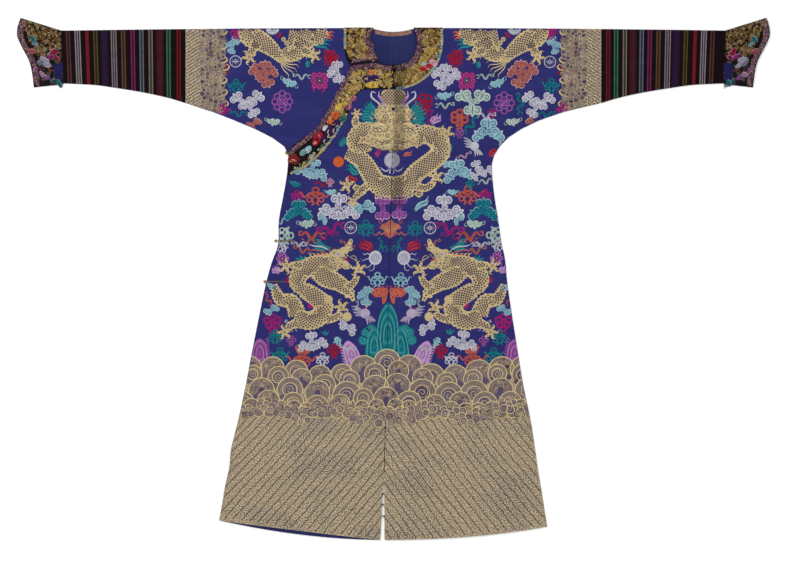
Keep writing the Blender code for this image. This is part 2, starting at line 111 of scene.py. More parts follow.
# The body's outline: distance down, half width on the wearer's left, and on the right.
OUTLINE = (
    (0.2020, 0.5670, 0.5670),
    (0.2170, 0.5000, 0.5240),
    (0.2345, 0.4420, 0.4700),
    (0.2530, 0.3930, 0.4270),
    (0.2690, 0.3600, 0.3880),
    (0.2900, 0.3260, 0.3440),
    (0.3060, 0.3070, 0.3170),
    (0.3220, 0.2930, 0.2960),
    (0.3370, 0.2834, 0.2840),
    (0.3520, 0.2760, 0.2835),
    (0.3700, 0.2725, 0.2840),
    (0.4010, 0.2740, 0.2860),
    (0.4610, 0.2820, 0.2950),
    (0.5250, 0.2940, 0.3050),
    (0.5800, 0.3030, 0.3040),
    (0.6020, 0.3080, 0.3070),
    (0.6340, 0.3156, 0.3200),
    (0.7030, 0.3240, 0.3370),
    (0.8190, 0.3445, 0.3580),
    (0.9610, 0.3710, 0.3820),
    (1.0700, 0.3950, 0.4000),
    (1.1740, 0.4120, 0.4187),
    (1.2340, 0.4210, 0.4220),
    (1.3000, 0.4325, 0.4325),
    (1.3500, 0.4410, 0.4385),
    (LENGTH, 0.4496, 0.4458),
)
# The striped sleeve's lower edge: distance from the centre, distance below the fold.
SLEEVE_EDGE = (
    (0.5670, 0.2020),
    (0.6120, 0.1881),
    (0.6560, 0.1773),
    (0.7030, 0.1678),
    (0.7600, 0.1581),
    (0.8090, 0.1504),
    (0.8560, 0.1467),
    (0.8990, 0.1441),
)
# The hoof cuff's outer edge: share of the way down it, distance from the centre.
CUFF_EDGE = (
    (0.00, 1.0180),
    (0.10, 1.0240),
    (0.19, HALF_SPAN),
    (0.28, 1.0260),
    (0.41, 1.0145),
    (0.60, 0.9945),
    (0.80, 0.9855),
    (1.00, 0.9815),
)
CUFF_CORNER_DOWN = 0.162
HEM_CURVE = {"left": (0.038, 2.2), "right": (0.055, 1.9)}
# The overlap's upper edge: distance from the centre seam, distance down.
OVERLAP_EDGE = (
    (0.0500, 0.0910),
    (0.0700, 0.0935),
    (0.0930, 0.0965),
    (0.1175, 0.0995),
    (0.1190, 0.1025),
    (0.1210, 0.1150),
    (0.1360, 0.1420),
    (0.1510, 0.1690),
    (0.1680, 0.2010),
    (0.1840, 0.2320),
    (0.2080, 0.2730),
    (0.2460, 0.3010),
    (0.2810, 0.3280),
)
# The overlap band: upper edge, then lower edge, each as distance from seam and down.
OVERLAP_BAND = (
    (0.0002, 0.1013, 0.0002, 0.1670),
    (0.0180, 0.1000, 0.0280, 0.1675),
    (0.0320, 0.0972, 0.0500, 0.1680),
    (0.0440, 0.0912, 0.0680, 0.1680),
    (0.0800, 0.0952, 0.0800, 0.1680),
    (0.1170, 0.1003, 0.0880, 0.1700),
    (0.1205, 0.1150, 0.0940, 0.1760),
    (0.1355, 0.1420, 0.1030, 0.1890),
    (0.1505, 0.1690, 0.1120, 0.2050),
    (0.1675, 0.2010, 0.1210, 0.2260),
    (0.1835, 0.2320, 0.1350, 0.2550),
    (0.2075, 0.2730, 0.1580, 0.2950),
    (0.2450, 0.3010, 0.1930, 0.3430),
    (0.2790, 0.3270, 0.2350, 0.3800),
    (0.2815, 0.3370, 0.2830, 0.4030),
)
# The collar's end on the wearer's right: inner edge, then outer edge, as above.
COLLAR_END = (
    (0.0605, 0.0560, 0.1325, 0.0640),
    (0.0520, 0.0795, 0.1270, 0.0880),
    (0.0440, 0.0893, 0.1180, 0.0990),
)
# Soft creases, pressed into every layer alike: start x and down, end x and down,
# height, half width, sideways wander, all in millimetres.
CREASES = (
    (-20, 1060, -395, 1040, 1.1, 12, 5),
    (25, 1052, 385, 1066, 1.0, 13, 6),
    (-60, 640, -300, 520, 1.3, 16, 7),
    (60, 610, 280, 470, 1.4, 17, 8),
    (-120, 430, -280, 360, 1.5, 14, 5),
    (110, 400, 268, 352, 1.6, 14, 5),
    (230, 330, 480, 60, 1.8, 20, 8),
    (-240, 300, -470, 70, 1.7, 19, 9),
    (300, 250, 640, 40, 1.3, 15, 6),
    (-330, 240, -610, 60, 1.2, 16, 7),
    (600, 140, 860, 70, 1.2, 12, 5),
    (-620, 130, -880, 60, 1.3, 11, 6),
    (-200, 760, -230, 1340, 1.5, 20, 12),
    (190, 700, 225, 1370, 1.6, 22, 10),
    (-330, 900, -405, 1330, 1.2, 15, 8),
    (320, 860, 400, 1300, 1.1, 14, 9),
    (90, 820, 110, 1180, 1.0, 16, 8),
    (-100, 880, -95, 1240, 1.1, 15, 7),
    (60, 1230, 330, 1255, 0.9, 14, 6),
    (-70, 1215, -350, 1190, 1.0, 13, 7),
    (950, 10, 985, 120, 0.9, 9, 3),
    (-945, 20, -990, 110, 1.0, 9, 3),
)
CREASE_ON_BACK = 0.4      # share of a crease that the back takes up


# ================================================================ small mathematics
def smooth(value):
    value = np.clip(value, 0.0, 1.0)
    return value * value * (3.0 - 2.0 * value)


def ramp(value, low, high):
    return smooth((value - low) / (high - low))


def mix(low, high, share):
    return low + (high - low) * share


def through(points, step, least=2):
    """A smooth curve through the points, a point about every step and at least so many a span."""
    points = np.asarray(points, float)
    padded = np.vstack([2 * points[0] - points[1], points, 2 * points[-1] - points[-2]])
    made = []
    for index in range(1, len(padded) - 2):
        a, b, c, d = padded[index - 1:index + 3]
        count = max(least, int(np.hypot(*(c - b)[:2]) / step))
        t = np.linspace(0, 1, count, endpoint=False)[:, None]
        made.append(0.5 * (2 * b + (c - a) * t + (2 * a - 5 * b + 4 * c - d) * t ** 2
                           + (3 * b - a - 3 * c + d) * t ** 3))
    return np.vstack(made + [points[-1:]])


def smooth_table(table, key=0, step=0.004):
    """The table with a smooth curve through its rows, for np.interp."""
    rows = np.asarray(table, float)
    order = [key] + [column for column in range(rows.shape[1]) if column != key]
    dense = through(rows[:, order], step)
    keep = np.concatenate([[True], np.diff(np.maximum.accumulate(dense[:, 0])) > 1e-6])
    return dense[keep]


BODY = smooth_table(OUTLINE)
SLEEVE = smooth_table(SLEEVE_EDGE)
CUFF = smooth_table(CUFF_EDGE, step=0.02)
OVERLAP = np.asarray([(down, x) for x, down in OVERLAP_EDGE])


# ================================================================ the pattern
def half_width(side, down):
    return np.interp(down, BODY[:, 0], BODY[:, 1 if side == "left" else 2])


def crest(x):
    outward = np.abs(x)
    body = -SHOULDER_DROP * (outward / CUFF_SEAM_TOP) ** 2
    share = np.clip((outward - CUFF_SEAM_TOP) / (CUFF_EDGE[0][1] - CUFF_SEAM_TOP), 0, 1)
    cuff = mix(-SHOULDER_DROP, CUFF_RISE, share)
    return SHOULDER_Y + np.where(outward <= CUFF_SEAM_TOP, body, cuff)


def cuff_down(x):
    inner_x, inner_down = SLEEVE_EDGE[-1]
    corner_x = CUFF_EDGE[-1][1]
    corner = float(crest(corner_x)) - SHOULDER_Y + CUFF_CORNER_DOWN
    along = np.clip((x - inner_x) / (corner_x - inner_x), 0, 1)
    return np.where(x <= corner_x, mix(inner_down, corner, along),
                    crest(x) - SHOULDER_Y + CUFF_CORNER_DOWN)


def sewn_edge(side):
    corner_x = CUFF_EDGE[-1][1]
    cuff = [(corner_x, float(cuff_down(corner_x)))]
    sleeve = list(reversed(SLEEVE_EDGE))
    body = [(float(half_width(side, row[0])), row[0]) for row in OUTLINE[1:]]
    return np.asarray(cuff + sleeve + body)


SEWN_EDGES = {side: sewn_edge(side) for side in SIGN}


def edge_distance(side, x, down):
    points = np.stack([np.abs(x), down], -1)
    line = SEWN_EDGES[side]
    best = np.full(np.shape(x), 9.0)
    for start, end in zip(line, line[1:]):
        along = end - start
        share = np.clip(((points - start) @ along) / (along @ along), 0, 1)
        off = points - start - share[..., None] * along
        best = np.minimum(best, np.hypot(off[..., 0], off[..., 1]))
    return best


def neck_half(down):
    upper = 1.0 - down / NECK_WIDEST
    above = NECK_HALF - (NECK_HALF - NECK_HALF_AT_FOLD) * upper * upper
    share = np.clip((down - NECK_WIDEST) / (NECK_DEPTH - NECK_WIDEST), 0, 1)
    below = NECK_HALF * (1.0 - share ** NECK_SQUARE) ** (1.0 / NECK_SQUARE)
    return np.where(down < NECK_WIDEST, above, below)


def neck_point(angle):
    power = 2.0 / NECK_SQUARE
    x = NECK_HALF * sin(angle) ** power
    return x, NECK_WIDEST + (NECK_DEPTH - NECK_WIDEST) * max(0.0, cos(angle)) ** power


def seam_half(down):
    return GAP / 2 + VENT_HALF * np.maximum(0.0, (down - VENT_TOP) / (LENGTH - VENT_TOP))


def fold_radius(x):
    share = np.minimum(1.0, np.abs(x) / CUFF_SEAM_TOP)
    return mix(FOLD_SPACE_NECK, FOLD_SPACE_CUFF, share) / 2


def fold_run(x):
    return (fold_radius(x) + CLOTH / 2) * pi / 2


def fold_down(x):
    return fold_radius(x) + CLOTH


def run_at(x, down):
    return down - fold_down(x) + fold_run(x)


def front_space(layer, x, down):
    at_fold = 2 * fold_radius(x)
    settled = smooth(down / LAID_DOWN)
    laid = RAISED + GAP
    if layer == "under":
        sleeve = ramp(np.abs(x), UNDERARM_IN, UNDERARM_OUT)
        sleeve = sleeve * (1.0 - ramp(down, UNDERARM_TOP, UNDERARM_BOTTOM))
        laid = mix(GAP, laid, sleeve)
    space = mix(at_fold, laid, settled)
    if layer == "left":
        beside_seam = mix(at_fold, GAP, settled) + RAISED
        near = smooth(down / NECK_DEPTH) * (1.0 - smooth(np.abs(x) / SEAM_LIFT_WIDTH))
        space = mix(space, beside_seam, near)
    edge = np.where(x < 0, edge_distance("right", x, down), edge_distance("left", x, down))
    return mix(GAP, space, smooth(edge / EDGE_ROLL))


def crease_lift(x, down):
    """Soft uneven ridges, with low ground between them."""
    lift = np.zeros(np.shape(x))
    for x0, down0, x1, down1, height, width, wander in CREASES:
        start = np.array([x0, down0]) * MM
        along = np.array([x1, down1]) * MM - start
        length = hypot(*along)
        along = along / length
        off_x = x - start[0]
        off_down = down - start[1]
        share = (off_x * along[0] + off_down * along[1]) / length
        sideways = off_x * along[1] - off_down * along[0]
        wave = np.sin(share * 7.0 + x0 * 0.05) + 0.5 * np.sin(share * 17.0 + down0)
        sideways = sideways - wander * MM * wave
        fade = smooth(share / 0.3) * (1.0 - smooth((share - 0.65) / 0.35))
        uneven = 0.8 + 0.3 * np.sin(share * 11.0 + down0 * 0.01)
        lift = lift + height * MM * fade * uneven * np.exp(-(sideways / (width * MM)) ** 2)
    return lift


def collar_lift(x, down):
    depth = float(fold_down(0.0)) + BACK_RING_DEPTH
    radii = np.sqrt((x / RING_HALF) ** 2 + (down / depth) ** 2)
    return (BAND + GAP) * (1.0 - ramp(radii, RING_LIFT_INNER, RING_LIFT_OUTER))


def hem_lift(x, down, crescent):
    lift = 0.0
    for side, sign in SIGN.items():
        rise, power = HEM_CURVE[side]
        share = np.clip(sign * x / half_width(side, down), 0, 1)
        lift = lift + rise * share ** power
        if side == "right":
            lift = lift + crescent * np.sin(pi * share)
    return ramp(down, HEM_RAMP_TOP, LENGTH) * lift


def on_cloth(layer, x, run, rise, crescent=0.0):
    """Points at rise from the inner face of the folded cloth; arrays in, (..., 3) out."""
    x, run, rise, crescent = np.broadcast_arrays(x, run, rise, crescent)
    radius = fold_radius(x)
    flat_from = fold_run(x)
    top = crest(x)
    turn = np.clip(run / flat_from, -1, 1) * pi / 2
    out = radius + rise
    down = fold_down(x) + np.abs(run) - flat_from
    bent = np.abs(run) <= flat_from
    down = np.where(bent, 0.0, down)
    crease = crease_lift(x, down)
    ground = collar_lift(x, down)
    fold_y = top - fold_down(x) + out * np.cos(turn)
    share_up = 0.5 + 0.5 * np.sin(turn)
    fold_z = ground + CLOTH + radius + out * np.sin(turn)
    fold_z = fold_z + crease * mix(CREASE_ON_BACK, 1.0, share_up)
    swing = -SWING * np.maximum(0.0, (down - SWING_START) / (LENGTH - SWING_START))
    y = top - down + hem_lift(x, down, crescent)
    back_z = ground + CLOTH - rise + CREASE_ON_BACK * crease
    front_z = ground + CLOTH + front_space(layer, x, down) + rise + crease
    z = np.where(bent, fold_z, np.where(run < 0, back_z, front_z))
    made_x = np.where(bent, x, x + swing)
    return np.stack([made_x, np.where(bent, fold_y, y), z], -1)


# ================================================================ materials
LAMPS = 1.38              # the lamps light a white surface to this many times full white


def linear(colour):
    """0-255 colour as it should look to the linear values that the shaders use."""
    share = np.asarray(colour, float) / 255.0
    return np.where(share <= 0.04045, share / 12.92, ((share + 0.055) / 1.055) ** 2.4) / LAMPS


class Nodes:
    """Short calls for making a material's nodes."""

    def __init__(self, name):
        self.material = bpy.data.materials.new(name)
        self.material.use_nodes = True
        self.tree = self.material.node_tree
        self.shader = self.tree.nodes["Principled BSDF"]

    def link(self, source, target):
        self.tree.links.new(source, target)

    def add(self, kind, **settings):
        node = self.tree.nodes.new(kind)
        for key, value in settings.items():
            setattr(node, key, value)
        return node

    def attribute(self, name):
        return self.add("ShaderNodeAttribute", attribute_name=name)

    def scaled(self, source, scale):
        node = self.add("ShaderNodeMapping")
        node.inputs["Scale"].default_value = scale
        self.link(source, node.inputs["Vector"])
        return node.outputs["Vector"]

    def noise(self, vector, scale, detail=3.0, roughness=0.55):
        node = self.add("ShaderNodeTexNoise")
        node.inputs["Scale"].default_value = scale
        node.inputs["Detail"].default_value = detail
        node.inputs["Roughness"].default_value = roughness
        self.link(vector, node.inputs["Vector"])
        return node.outputs["Fac"]

    def waves(self, vector, scale, direction):
        node = self.add("ShaderNodeTexWave", bands_direction=direction)
        node.inputs["Scale"].default_value = scale
        node.inputs["Distortion"].default_value = 1.2
        node.inputs["Detail"].default_value = 1.0
        self.link(vector, node.inputs["Vector"])
        return node.outputs["Fac"]

    def steps(self, source, stops):
        """A colour ramp: stops of (position, linear colour)."""
        node = self.add("ShaderNodeValToRGB")
        ramp_colours = node.color_ramp
        while len(ramp_colours.elements) < len(stops):
            ramp_colours.elements.new(0.5)
        for element, (position, colour) in zip(ramp_colours.elements, stops):
            element.position = position
            element.color = (*colour, 1.0)
        self.link(source, node.inputs["Fac"])
        return node.outputs["Color"]

    def blend(self, share, first, second, kind="MIX"):
        node = self.add("ShaderNodeMix", data_type="RGBA", blend_type=kind)
        for socket, value in ((0, share), (6, first), (7, second)):
            if isinstance(value, bpy.types.NodeSocket):
                self.link(value, node.inputs[socket])
            else:
                node.inputs[socket].default_value = value
        return node.outputs[2]

    def maths(self, operation, first, second):
        node = self.add("ShaderNodeMath", operation=operation)
        for socket, value in ((0, first), (1, second)):
            if isinstance(value, bpy.types.NodeSocket):
                self.link(value, node.inputs[socket])
            else:
                node.inputs[socket].default_value = value
        return node.outputs[0]

    def bump(self, height, distance, strength=1.0):
        node = self.add("ShaderNodeBump")
        node.inputs["Distance"].default_value = distance
        node.inputs["Strength"].default_value = strength
        self.link(height, node.inputs["Height"])
        self.link(node.outputs["Normal"], self.shader.inputs["Normal"])

    def surface(self, roughness, metallic=0.0, sheen=0.0, sheen_tint=(1, 1, 1)):
        self.shader.inputs["Roughness"].default_value = roughness
        self.shader.inputs["Metallic"].default_value = metallic
        self.shader.inputs["Sheen Weight"].default_value = sheen
        self.shader.inputs["Sheen Roughness"].default_value = 0.4
        if metallic < 0.5:
            self.shader.inputs["Specular IOR Level"].default_value = 0.04
        self.shader.inputs["Sheen Tint"].default_value = (*sheen_tint, 1.0)


def weave(nodes, place, distance=0.00012):
    """Warp and weft as fine bump: a rib across and a finer thread along."""
    across = nodes.waves(place, 420.0, "Y")
    along = nodes.waves(place, 260.0, "X")
    fuzz = nodes.noise(place, 900.0, 2.0)
    height = nodes.maths("ADD", nodes.maths("MULTIPLY", across, 0.6), nodes.maths("MULTIPLY", along, 0.4))
    height = nodes.maths("ADD", height, nodes.maths("MULTIPLY", fuzz, 0.5))
    nodes.bump(height, distance)


def panel_silk():
    """Blue ground, and woven gold where the gold attribute says so."""
    nodes = Nodes("dragon_silk")
    place = nodes.attribute("pattern").outputs["Vector"]
    worn = nodes.noise(nodes.scaled(place, (1, 3.2, 1)), 9.0, 5.0)
    blue = nodes.steps(worn, [(0.30, linear((32, 35, 92))), (0.52, linear((40, 42, 106))),
                              (0.75, linear((54, 52, 116)))])
    speck = nodes.noise(place, 420.0, 2.0)
    blue = nodes.blend(0.35, blue, nodes.steps(speck, [(0.35, linear((28, 30, 82))),
                                                       (0.65, linear((66, 66, 132)))]))
    streak = nodes.noise(nodes.scaled(place, (6, 90, 1)), 5.0, 4.0, 0.65)
    gold = nodes.steps(streak, [(0.26, linear((104, 94, 96))), (0.42, linear((150, 132, 112))),
                                (0.58, linear((176, 154, 122))), (0.80, linear((200, 176, 134)))])
    # Grey patches in the gold: partly worn thread, partly painted sheen variation where the gold thread
    # catches less light.
    patch = nodes.noise(nodes.scaled(place, (1, 1.6, 1)), 7.0, 3.0, 0.6)
    wear_and_sheen_patches = nodes.steps(patch, [(0.48, (0, 0, 0)), (0.64, (1, 1, 1))])
    gold = nodes.blend(nodes.maths("MULTIPLY", wear_and_sheen_patches, 0.8), gold, (*linear((98, 92, 98)), 1))
    grain = nodes.noise(place, 290.0, 2.0, 0.7)
    gold = nodes.blend(0.62, gold, nodes.steps(grain, [(0.38, linear((58, 50, 54))),
                                                       (0.50, linear((160, 142, 116))),
                                                       (0.62, linear((255, 240, 200)))]))
    share = nodes.attribute("gold").outputs["Fac"]
    colour = nodes.blend(share, blue, gold)
    nodes.link(colour, nodes.shader.inputs["Base Color"])
    nodes.surface(0.58, 0.0, 0.02, tuple(linear((150, 155, 220))))
    weave(nodes, place)
    return nodes.material


def plain_silk(name, dark, middle, light, roughness=0.6, sheen=0.1, scale=8.0):
    nodes = Nodes(name)
    place = nodes.attribute("pattern").outputs["Vector"]
    worn = nodes.noise(nodes.scaled(place, (1, 2.4, 1)), scale, 5.0)
    colour = nodes.steps(worn, [(0.30, linear(dark)), (0.52, linear(middle)), (0.76, linear(light))])
    speck = nodes.noise(place, 380.0, 2.0)
    colour = nodes.blend(0.3, colour, nodes.steps(speck, [(0.35, linear(dark)), (0.65, linear(light))]))
    nodes.link(colour, nodes.shader.inputs["Base Color"])
    nodes.surface(roughness, 0.0, sheen, tuple(linear(light)))
    weave(nodes, place)
    return nodes.material


def thread(name, roughness, metallic, sheen, contrast):
    """Coloured thread: the tint attribute, made uneven along and across."""
    nodes = Nodes(name)
    tint = nodes.attribute("tint").outputs["Color"]
    place = nodes.add("ShaderNodeTexCoord").outputs["Object"]
    uneven = nodes.noise(nodes.scaled(place, (1, 1, 0.2)), 260.0, 3.0)
    shade = nodes.steps(uneven, [(0.3, (1 - contrast,) * 3), (0.7, (1 + contrast * 0.35,) * 3)])
    worn = nodes.noise(nodes.scaled(place, (1, 2.5, 0.2)), 22.0, 4.0)
    fading = nodes.steps(worn, [(0.3, (0.80, 0.80, 0.82)), (0.7, (1.06, 1.05, 1.03))])
    colour = nodes.blend(1.0, tint, shade, "MULTIPLY")
    colour = nodes.blend(1.0, colour, fading, "MULTIPLY")
    nodes.link(colour, nodes.shader.inputs["Base Color"])
    nodes.surface(roughness, metallic, sheen)
    rib = nodes.waves(nodes.scaled(place, (1, 1, 0.2)), 430.0, "Y")
    nodes.bump(nodes.maths("ADD", rib, uneven), 0.0001)
    return nodes.material


# ================================================================ cloth shells
def mesh_piece(name, points, faces, skin, attributes=None):
    mesh = bpy.data.meshes.new(name)
    mesh.from_pydata(points.reshape(-1, 3).tolist(), [], faces)
    for key, values in (attributes or {}).items():
        values = np.asarray(values, np.float32)
        if values.ndim == 1:
            mesh.attributes.new(key, "FLOAT", "POINT").data.foreach_set("value", values)
        elif key == "tint":
            made = mesh.color_attributes.new(key, "FLOAT_COLOR", "POINT")
            made.data.foreach_set("color", values.ravel())
        else:
            mesh.attributes.new(key, "FLOAT_VECTOR", "POINT").data.foreach_set("vector", values.ravel())
    mesh.materials.append(skin)
    piece = bpy.data.objects.new(name, mesh)
    bpy.context.scene.collection.objects.link(piece)
    return piece


def wall(name, inner, outer, pattern, skin, gold=None, tint=None):
    """A closed shell between two grids of points, shaded smooth."""
    rows, columns = inner.shape[:2]
    index = np.arange(rows * columns).reshape(rows, columns)
    quads = np.stack([index[:-1, :-1], index[:-1, 1:], index[1:, 1:], index[1:, :-1]], -1)
    quads = quads.reshape(-1, 4)
    offset = rows * columns
    rim = np.concatenate([index[0, :], index[1:, -1], index[-1, -2::-1], index[-2:0:-1, 0]])
    after = np.roll(rim, -1)
    sides = np.stack([rim, after, after + offset, rim + offset], -1)
    faces = np.vstack([quads, quads + offset, sides]).tolist()
    points = np.vstack([inner.reshape(-1, 3), outer.reshape(-1, 3)])
    layout = np.vstack([pattern.reshape(-1, 3)] * 2)
    attributes = {"pattern": layout}
    if gold is not None:
        attributes["gold"] = np.concatenate([gold.ravel()] * 2)
    if tint is not None:
        colour = np.vstack([tint.reshape(-1, 3)] * 2)
        attributes["tint"] = np.hstack([colour, np.ones((len(colour), 1))])
    piece = mesh_piece(name, points, faces, skin, attributes)
    body = bmesh.new()
    body.from_mesh(piece.data)
    bmesh.ops.recalc_face_normals(body, faces=body.faces[:])
    body.to_mesh(piece.data)
    body.free()
    piece.data.shade_smooth()
    piece.data.set_sharp_from_angle(angle=radians(50))
    return piece


def shell(name, node, layer, x, run, rise, thickness, skin,
          crescent=0.0, gold=None, tint=None):
    """A cloth shell on its CAD solid's form, with its flat pattern place stored on its points."""
    inner = on_cloth(layer, x, run, rise, crescent)
    outer = on_cloth(layer, x, run, rise + thickness, crescent)
    pattern = np.stack([x, run, np.zeros_like(x)], -1)
    piece = wall(name, inner, outer, pattern, skin, gold, tint)
    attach(piece, "root")
    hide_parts(node)
    return piece


def rows_between(starts, ends, shares):
    """x and run grids from row starts and ends, each (x, run)."""
    starts = np.asarray(starts, float)[:, None, :]
    ends = np.asarray(ends, float)[:, None, :]
    grid = mix(starts, ends, np.asarray(shares)[None, :, None])
    return grid[..., 0], grid[..., 1]


ACROSS = np.linspace(0.0, 1.0, 84)
ROW_STEP = 0.0078         # between the rows of a front that shows
UNDER_STEP = 0.020        # between the rows that the overlap covers
BACK_STEP = 0.024         # between the rows of the back
BAND_STEP = 0.006         # between the rows of the bands
COVERED_FROM = 0.36       # the overlap covers the under front from here down
FOLD_TURNS = np.linspace(1.0, -1.0, 13)


def fold_ends(inner_x, outer_x, turns=FOLD_TURNS):
    starts = [(inner_x, turn * float(fold_run(inner_x))) for turn in turns]
    ends = [(outer_x, turn * float(fold_run(outer_x))) for turn in turns]
    return starts, ends


def level(x, down, face=1.0):
    return (float(x), face * float(run_at(x, down)))


def neck_downs():
    return [neck_point(radians(angle))[1] for angle in range(0, 91, 4)] + [0.03, 0.02, 0.01]


def gold_zone(x, run):
    """1 where the cloth is woven in gold: below the waves and at the sleeve's end."""
    down = np.abs(run)
    foam = np.interp(np.abs(x), (0, 0.06, 0.11, 0.17, 0.24, 0.30, 0.40),
                     (0.905, 0.920, 0.945, 0.955, 0.94, 0.93, 0.93))
    skirt = ramp(down, foam - 0.006, foam + 0.006)
    sleeve = ramp(np.abs(x), 0.474, 0.486) * (down < 0.22)
    return np.maximum(skirt, sleeve)


def body_panel(side, skin):
    sign = SIGN[side]
    under = side == "right"
    upper = np.arange(NECK_DEPTH + 0.004, COVERED_FROM, ROW_STEP)
    lower = np.arange(COVERED_FROM, LENGTH, UNDER_STEP if under else ROW_STEP)
    downs = sorted(set(np.round(np.concatenate([upper, lower, neck_downs(), [LENGTH]]), 5)),
                   reverse=True)
    starts = []
    ends = []
    for down in downs:
        if under and down > FLAP_BOTTOM:
            continue
        inner = max(float(neck_half(down)), FLAP_INSET if under else float(seam_half(down)))
        starts.append(level(sign * inner, down))
        ends.append(level(sign * half_width(side, down), down))
    fold_starts, fold_finish = fold_ends(sign * NECK_HALF_AT_FOLD, sign * SLEEVE_SEAM)
    starts += fold_starts
    ends += fold_finish
    flat_down = float(fold_down(BACK_NECK_HALF))
    for share in (0.08, 0.2, 0.35, 0.5, 0.65, 0.8, 0.9, 0.97, 0.995):
        down = flat_down + BACK_NECK_DEPTH * share
        starts.append(level(sign * BACK_NECK_HALF * sqrt(1.0 - share), down, -1.0))
        ends.append(level(sign * SLEEVE_SEAM, down, -1.0))
    for down in list(np.arange(flat_down + BACK_NECK_DEPTH, LENGTH, BACK_STEP)) + [LENGTH]:
        starts.append(level(sign * seam_half(down), down, -1.0))
        ends.append(level(sign * half_width(side, down), down, -1.0))
    x, run = rows_between(starts, ends, ACROSS)
    layer = "under" if under else "left"
    return shell(side + "_panel_silk", side + "_panel", layer, x, run, 0.0, CLOTH, skin,
                 gold=gold_zone(x, run))


def overlap_outer(down):
    edge = np.interp(down, OVERLAP[:, 0], OVERLAP[:, 1])
    body = half_width("right", down) - OVERLAP_INSET
    return np.where(down <= OVERLAP[-1, 0], edge, body)


def overlap_panel(skin):
    edge = [down for _, down in OVERLAP_EDGE]
    downs = sorted(set(np.round(np.concatenate([edge, np.arange(0.10, LENGTH, ROW_STEP),
                                                [0.1005, 0.1015, LENGTH]]), 5)))
    starts = []
    ends = []
    for down in downs:
        inner = max(float(neck_half(down)), float(seam_half(down)))
        starts.append(level(-inner, down))
        ends.append(level(-float(overlap_outer(down)), down))
    x, run = rows_between(starts, ends, ACROSS)
    return shell("overlap_panel_silk", "overlap_panel", "under", x, run, RAISED, CLOTH, skin,
                 crescent=HEM_CRESCENT,
                 gold=gold_zone(x, run))


def turned_grid(sign, x_at, depth_at, across, layer_shares):
    """x and run of a tube folded along its top: front bottom, fold, back bottom."""
    xs = []
    runs = []
    for share in layer_shares:
        x = x_at(share, across)
        xs.append(sign * x)
        runs.append(run_at(x, depth_at(x) * share))
    for turn in FOLD_TURNS:
        x = x_at(0.0, across)
        xs.append(sign * x)
        runs.append(turn * fold_run(x))
    for share in reversed(layer_shares):
        x = x_at(share, across)
        xs.append(sign * x)
        runs.append(-run_at(x, depth_at(x) * share))
    return np.array(xs), np.array(runs)


LAYER_SHARES = list(np.linspace(1.0, 0.05, 22))


def sleeve_x(share, across):
    outer = mix(CUFF_SEAM_TOP, SLEEVE_EDGE[-1][0], share)
    return mix(SLEEVE_SEAM + GAP, outer, across)


def cuff_x(share, across):
    seam = mix(CUFF_SEAM_TOP, SLEEVE_EDGE[-1][0], share) + GAP
    return mix(seam, float(np.interp(share, CUFF[:, 0], CUFF[:, 1])), across)


def sleeve_depth(x):
    return np.interp(x, SLEEVE[:, 0], SLEEVE[:, 1])


def striped_sleeve(side, skin):
    across, colours = stripe_columns(side)
    x, run = turned_grid(SIGN[side], sleeve_x, sleeve_depth, across, LAYER_SHARES)
    tint = np.broadcast_to(colours[None, :, :], (*x.shape, 3))
    return shell("striped_sleeve_" + side, "sleeve_" + side, "left", x, run, 0.0, CLOTH, skin,
                 tint=tint)


def hoof_cuff(side, skin):
    x, run = turned_grid(SIGN[side], cuff_x, cuff_down, np.linspace(0, 1, 22), LAYER_SHARES)
    return shell("hoof_cuff_" + side, "cuff_" + side, "left", x, run, 0.0, CLOTH, skin)


def collar_rows():
    """Inner and outer ends of the collar's rows, round the neck from the centre front."""
    starts = []
    ends = []
    for angle in range(0, 91, 5):
        turn = radians(angle)
        x, down = neck_point(turn)
        outer = NECK_WIDEST + (RING_DEPTH - NECK_WIDEST) * cos(turn)
        starts.append(level(max(x, GAP / 2), down))
        ends.append(level(max(RING_HALF * sin(turn), GAP / 2), outer))
    for down in (0.03, 0.02, 0.01):
        starts.append(level(neck_half(down), down))
        ends.append(level(RING_HALF, down))
    fold_starts, fold_finish = fold_ends(NECK_HALF_AT_FOLD, RING_HALF)
    starts += fold_starts
    ends += fold_finish
    flat_down = float(fold_down(0.0))
    for angle in range(84, -85, -6):
        turn = radians(angle)
        starts.append(level(BACK_NECK_HALF * sin(turn),
                            flat_down + BACK_NECK_DEPTH * cos(turn) ** 2, -1.0))
        ends.append(level(RING_HALF * sin(turn), flat_down + BACK_RING_DEPTH * cos(turn), -1.0))
    fold_starts, fold_finish = fold_ends(-NECK_HALF_AT_FOLD, -RING_HALF, FOLD_TURNS[::-1])
    starts += fold_starts
    ends += fold_finish
    end_rows = []
    for down in (0.01, 0.02, 0.03, NECK_WIDEST):
        end_rows.append((float(neck_half(down)), down, RING_HALF, down))
    dense = through(end_rows + list(COLLAR_END), BAND_STEP)
    for inner_x, inner_down, outer_x, outer_down in dense:
        starts.append(level(-inner_x, inner_down))
        ends.append(level(-outer_x, outer_down))
    return starts, ends


def collar_band(skin):
    starts, ends = collar_rows()
    x, run = rows_between(starts, ends, np.linspace(0, 1, 12))
    inner = np.where((x[:, :1] > 0)[..., None], on_cloth("left", x, run, RAISED),
                     on_cloth("under", x, run, RAISED))
    outer = np.where((x[:, :1] > 0)[..., None], on_cloth("left", x, run, RAISED + BAND),
                     on_cloth("under", x, run, RAISED + BAND))
    pattern = np.stack([x, run, np.zeros_like(x)], -1)
    piece = wall("collar_band_silk", inner, outer, pattern, skin)
    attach(piece, "root")
    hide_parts("collar_band")
    return piece


def overlap_band(skin):
    dense = through(OVERLAP_BAND, BAND_STEP)
    starts = [level(-row[0], row[1]) for row in dense]
    ends = [level(-row[2], row[3]) for row in dense]
    x, run = rows_between(starts, ends, np.linspace(0, 1, 12))
    return shell("overlap_band_silk", "overlap_band", "under", x, run, 2 * RAISED, BAND, skin)


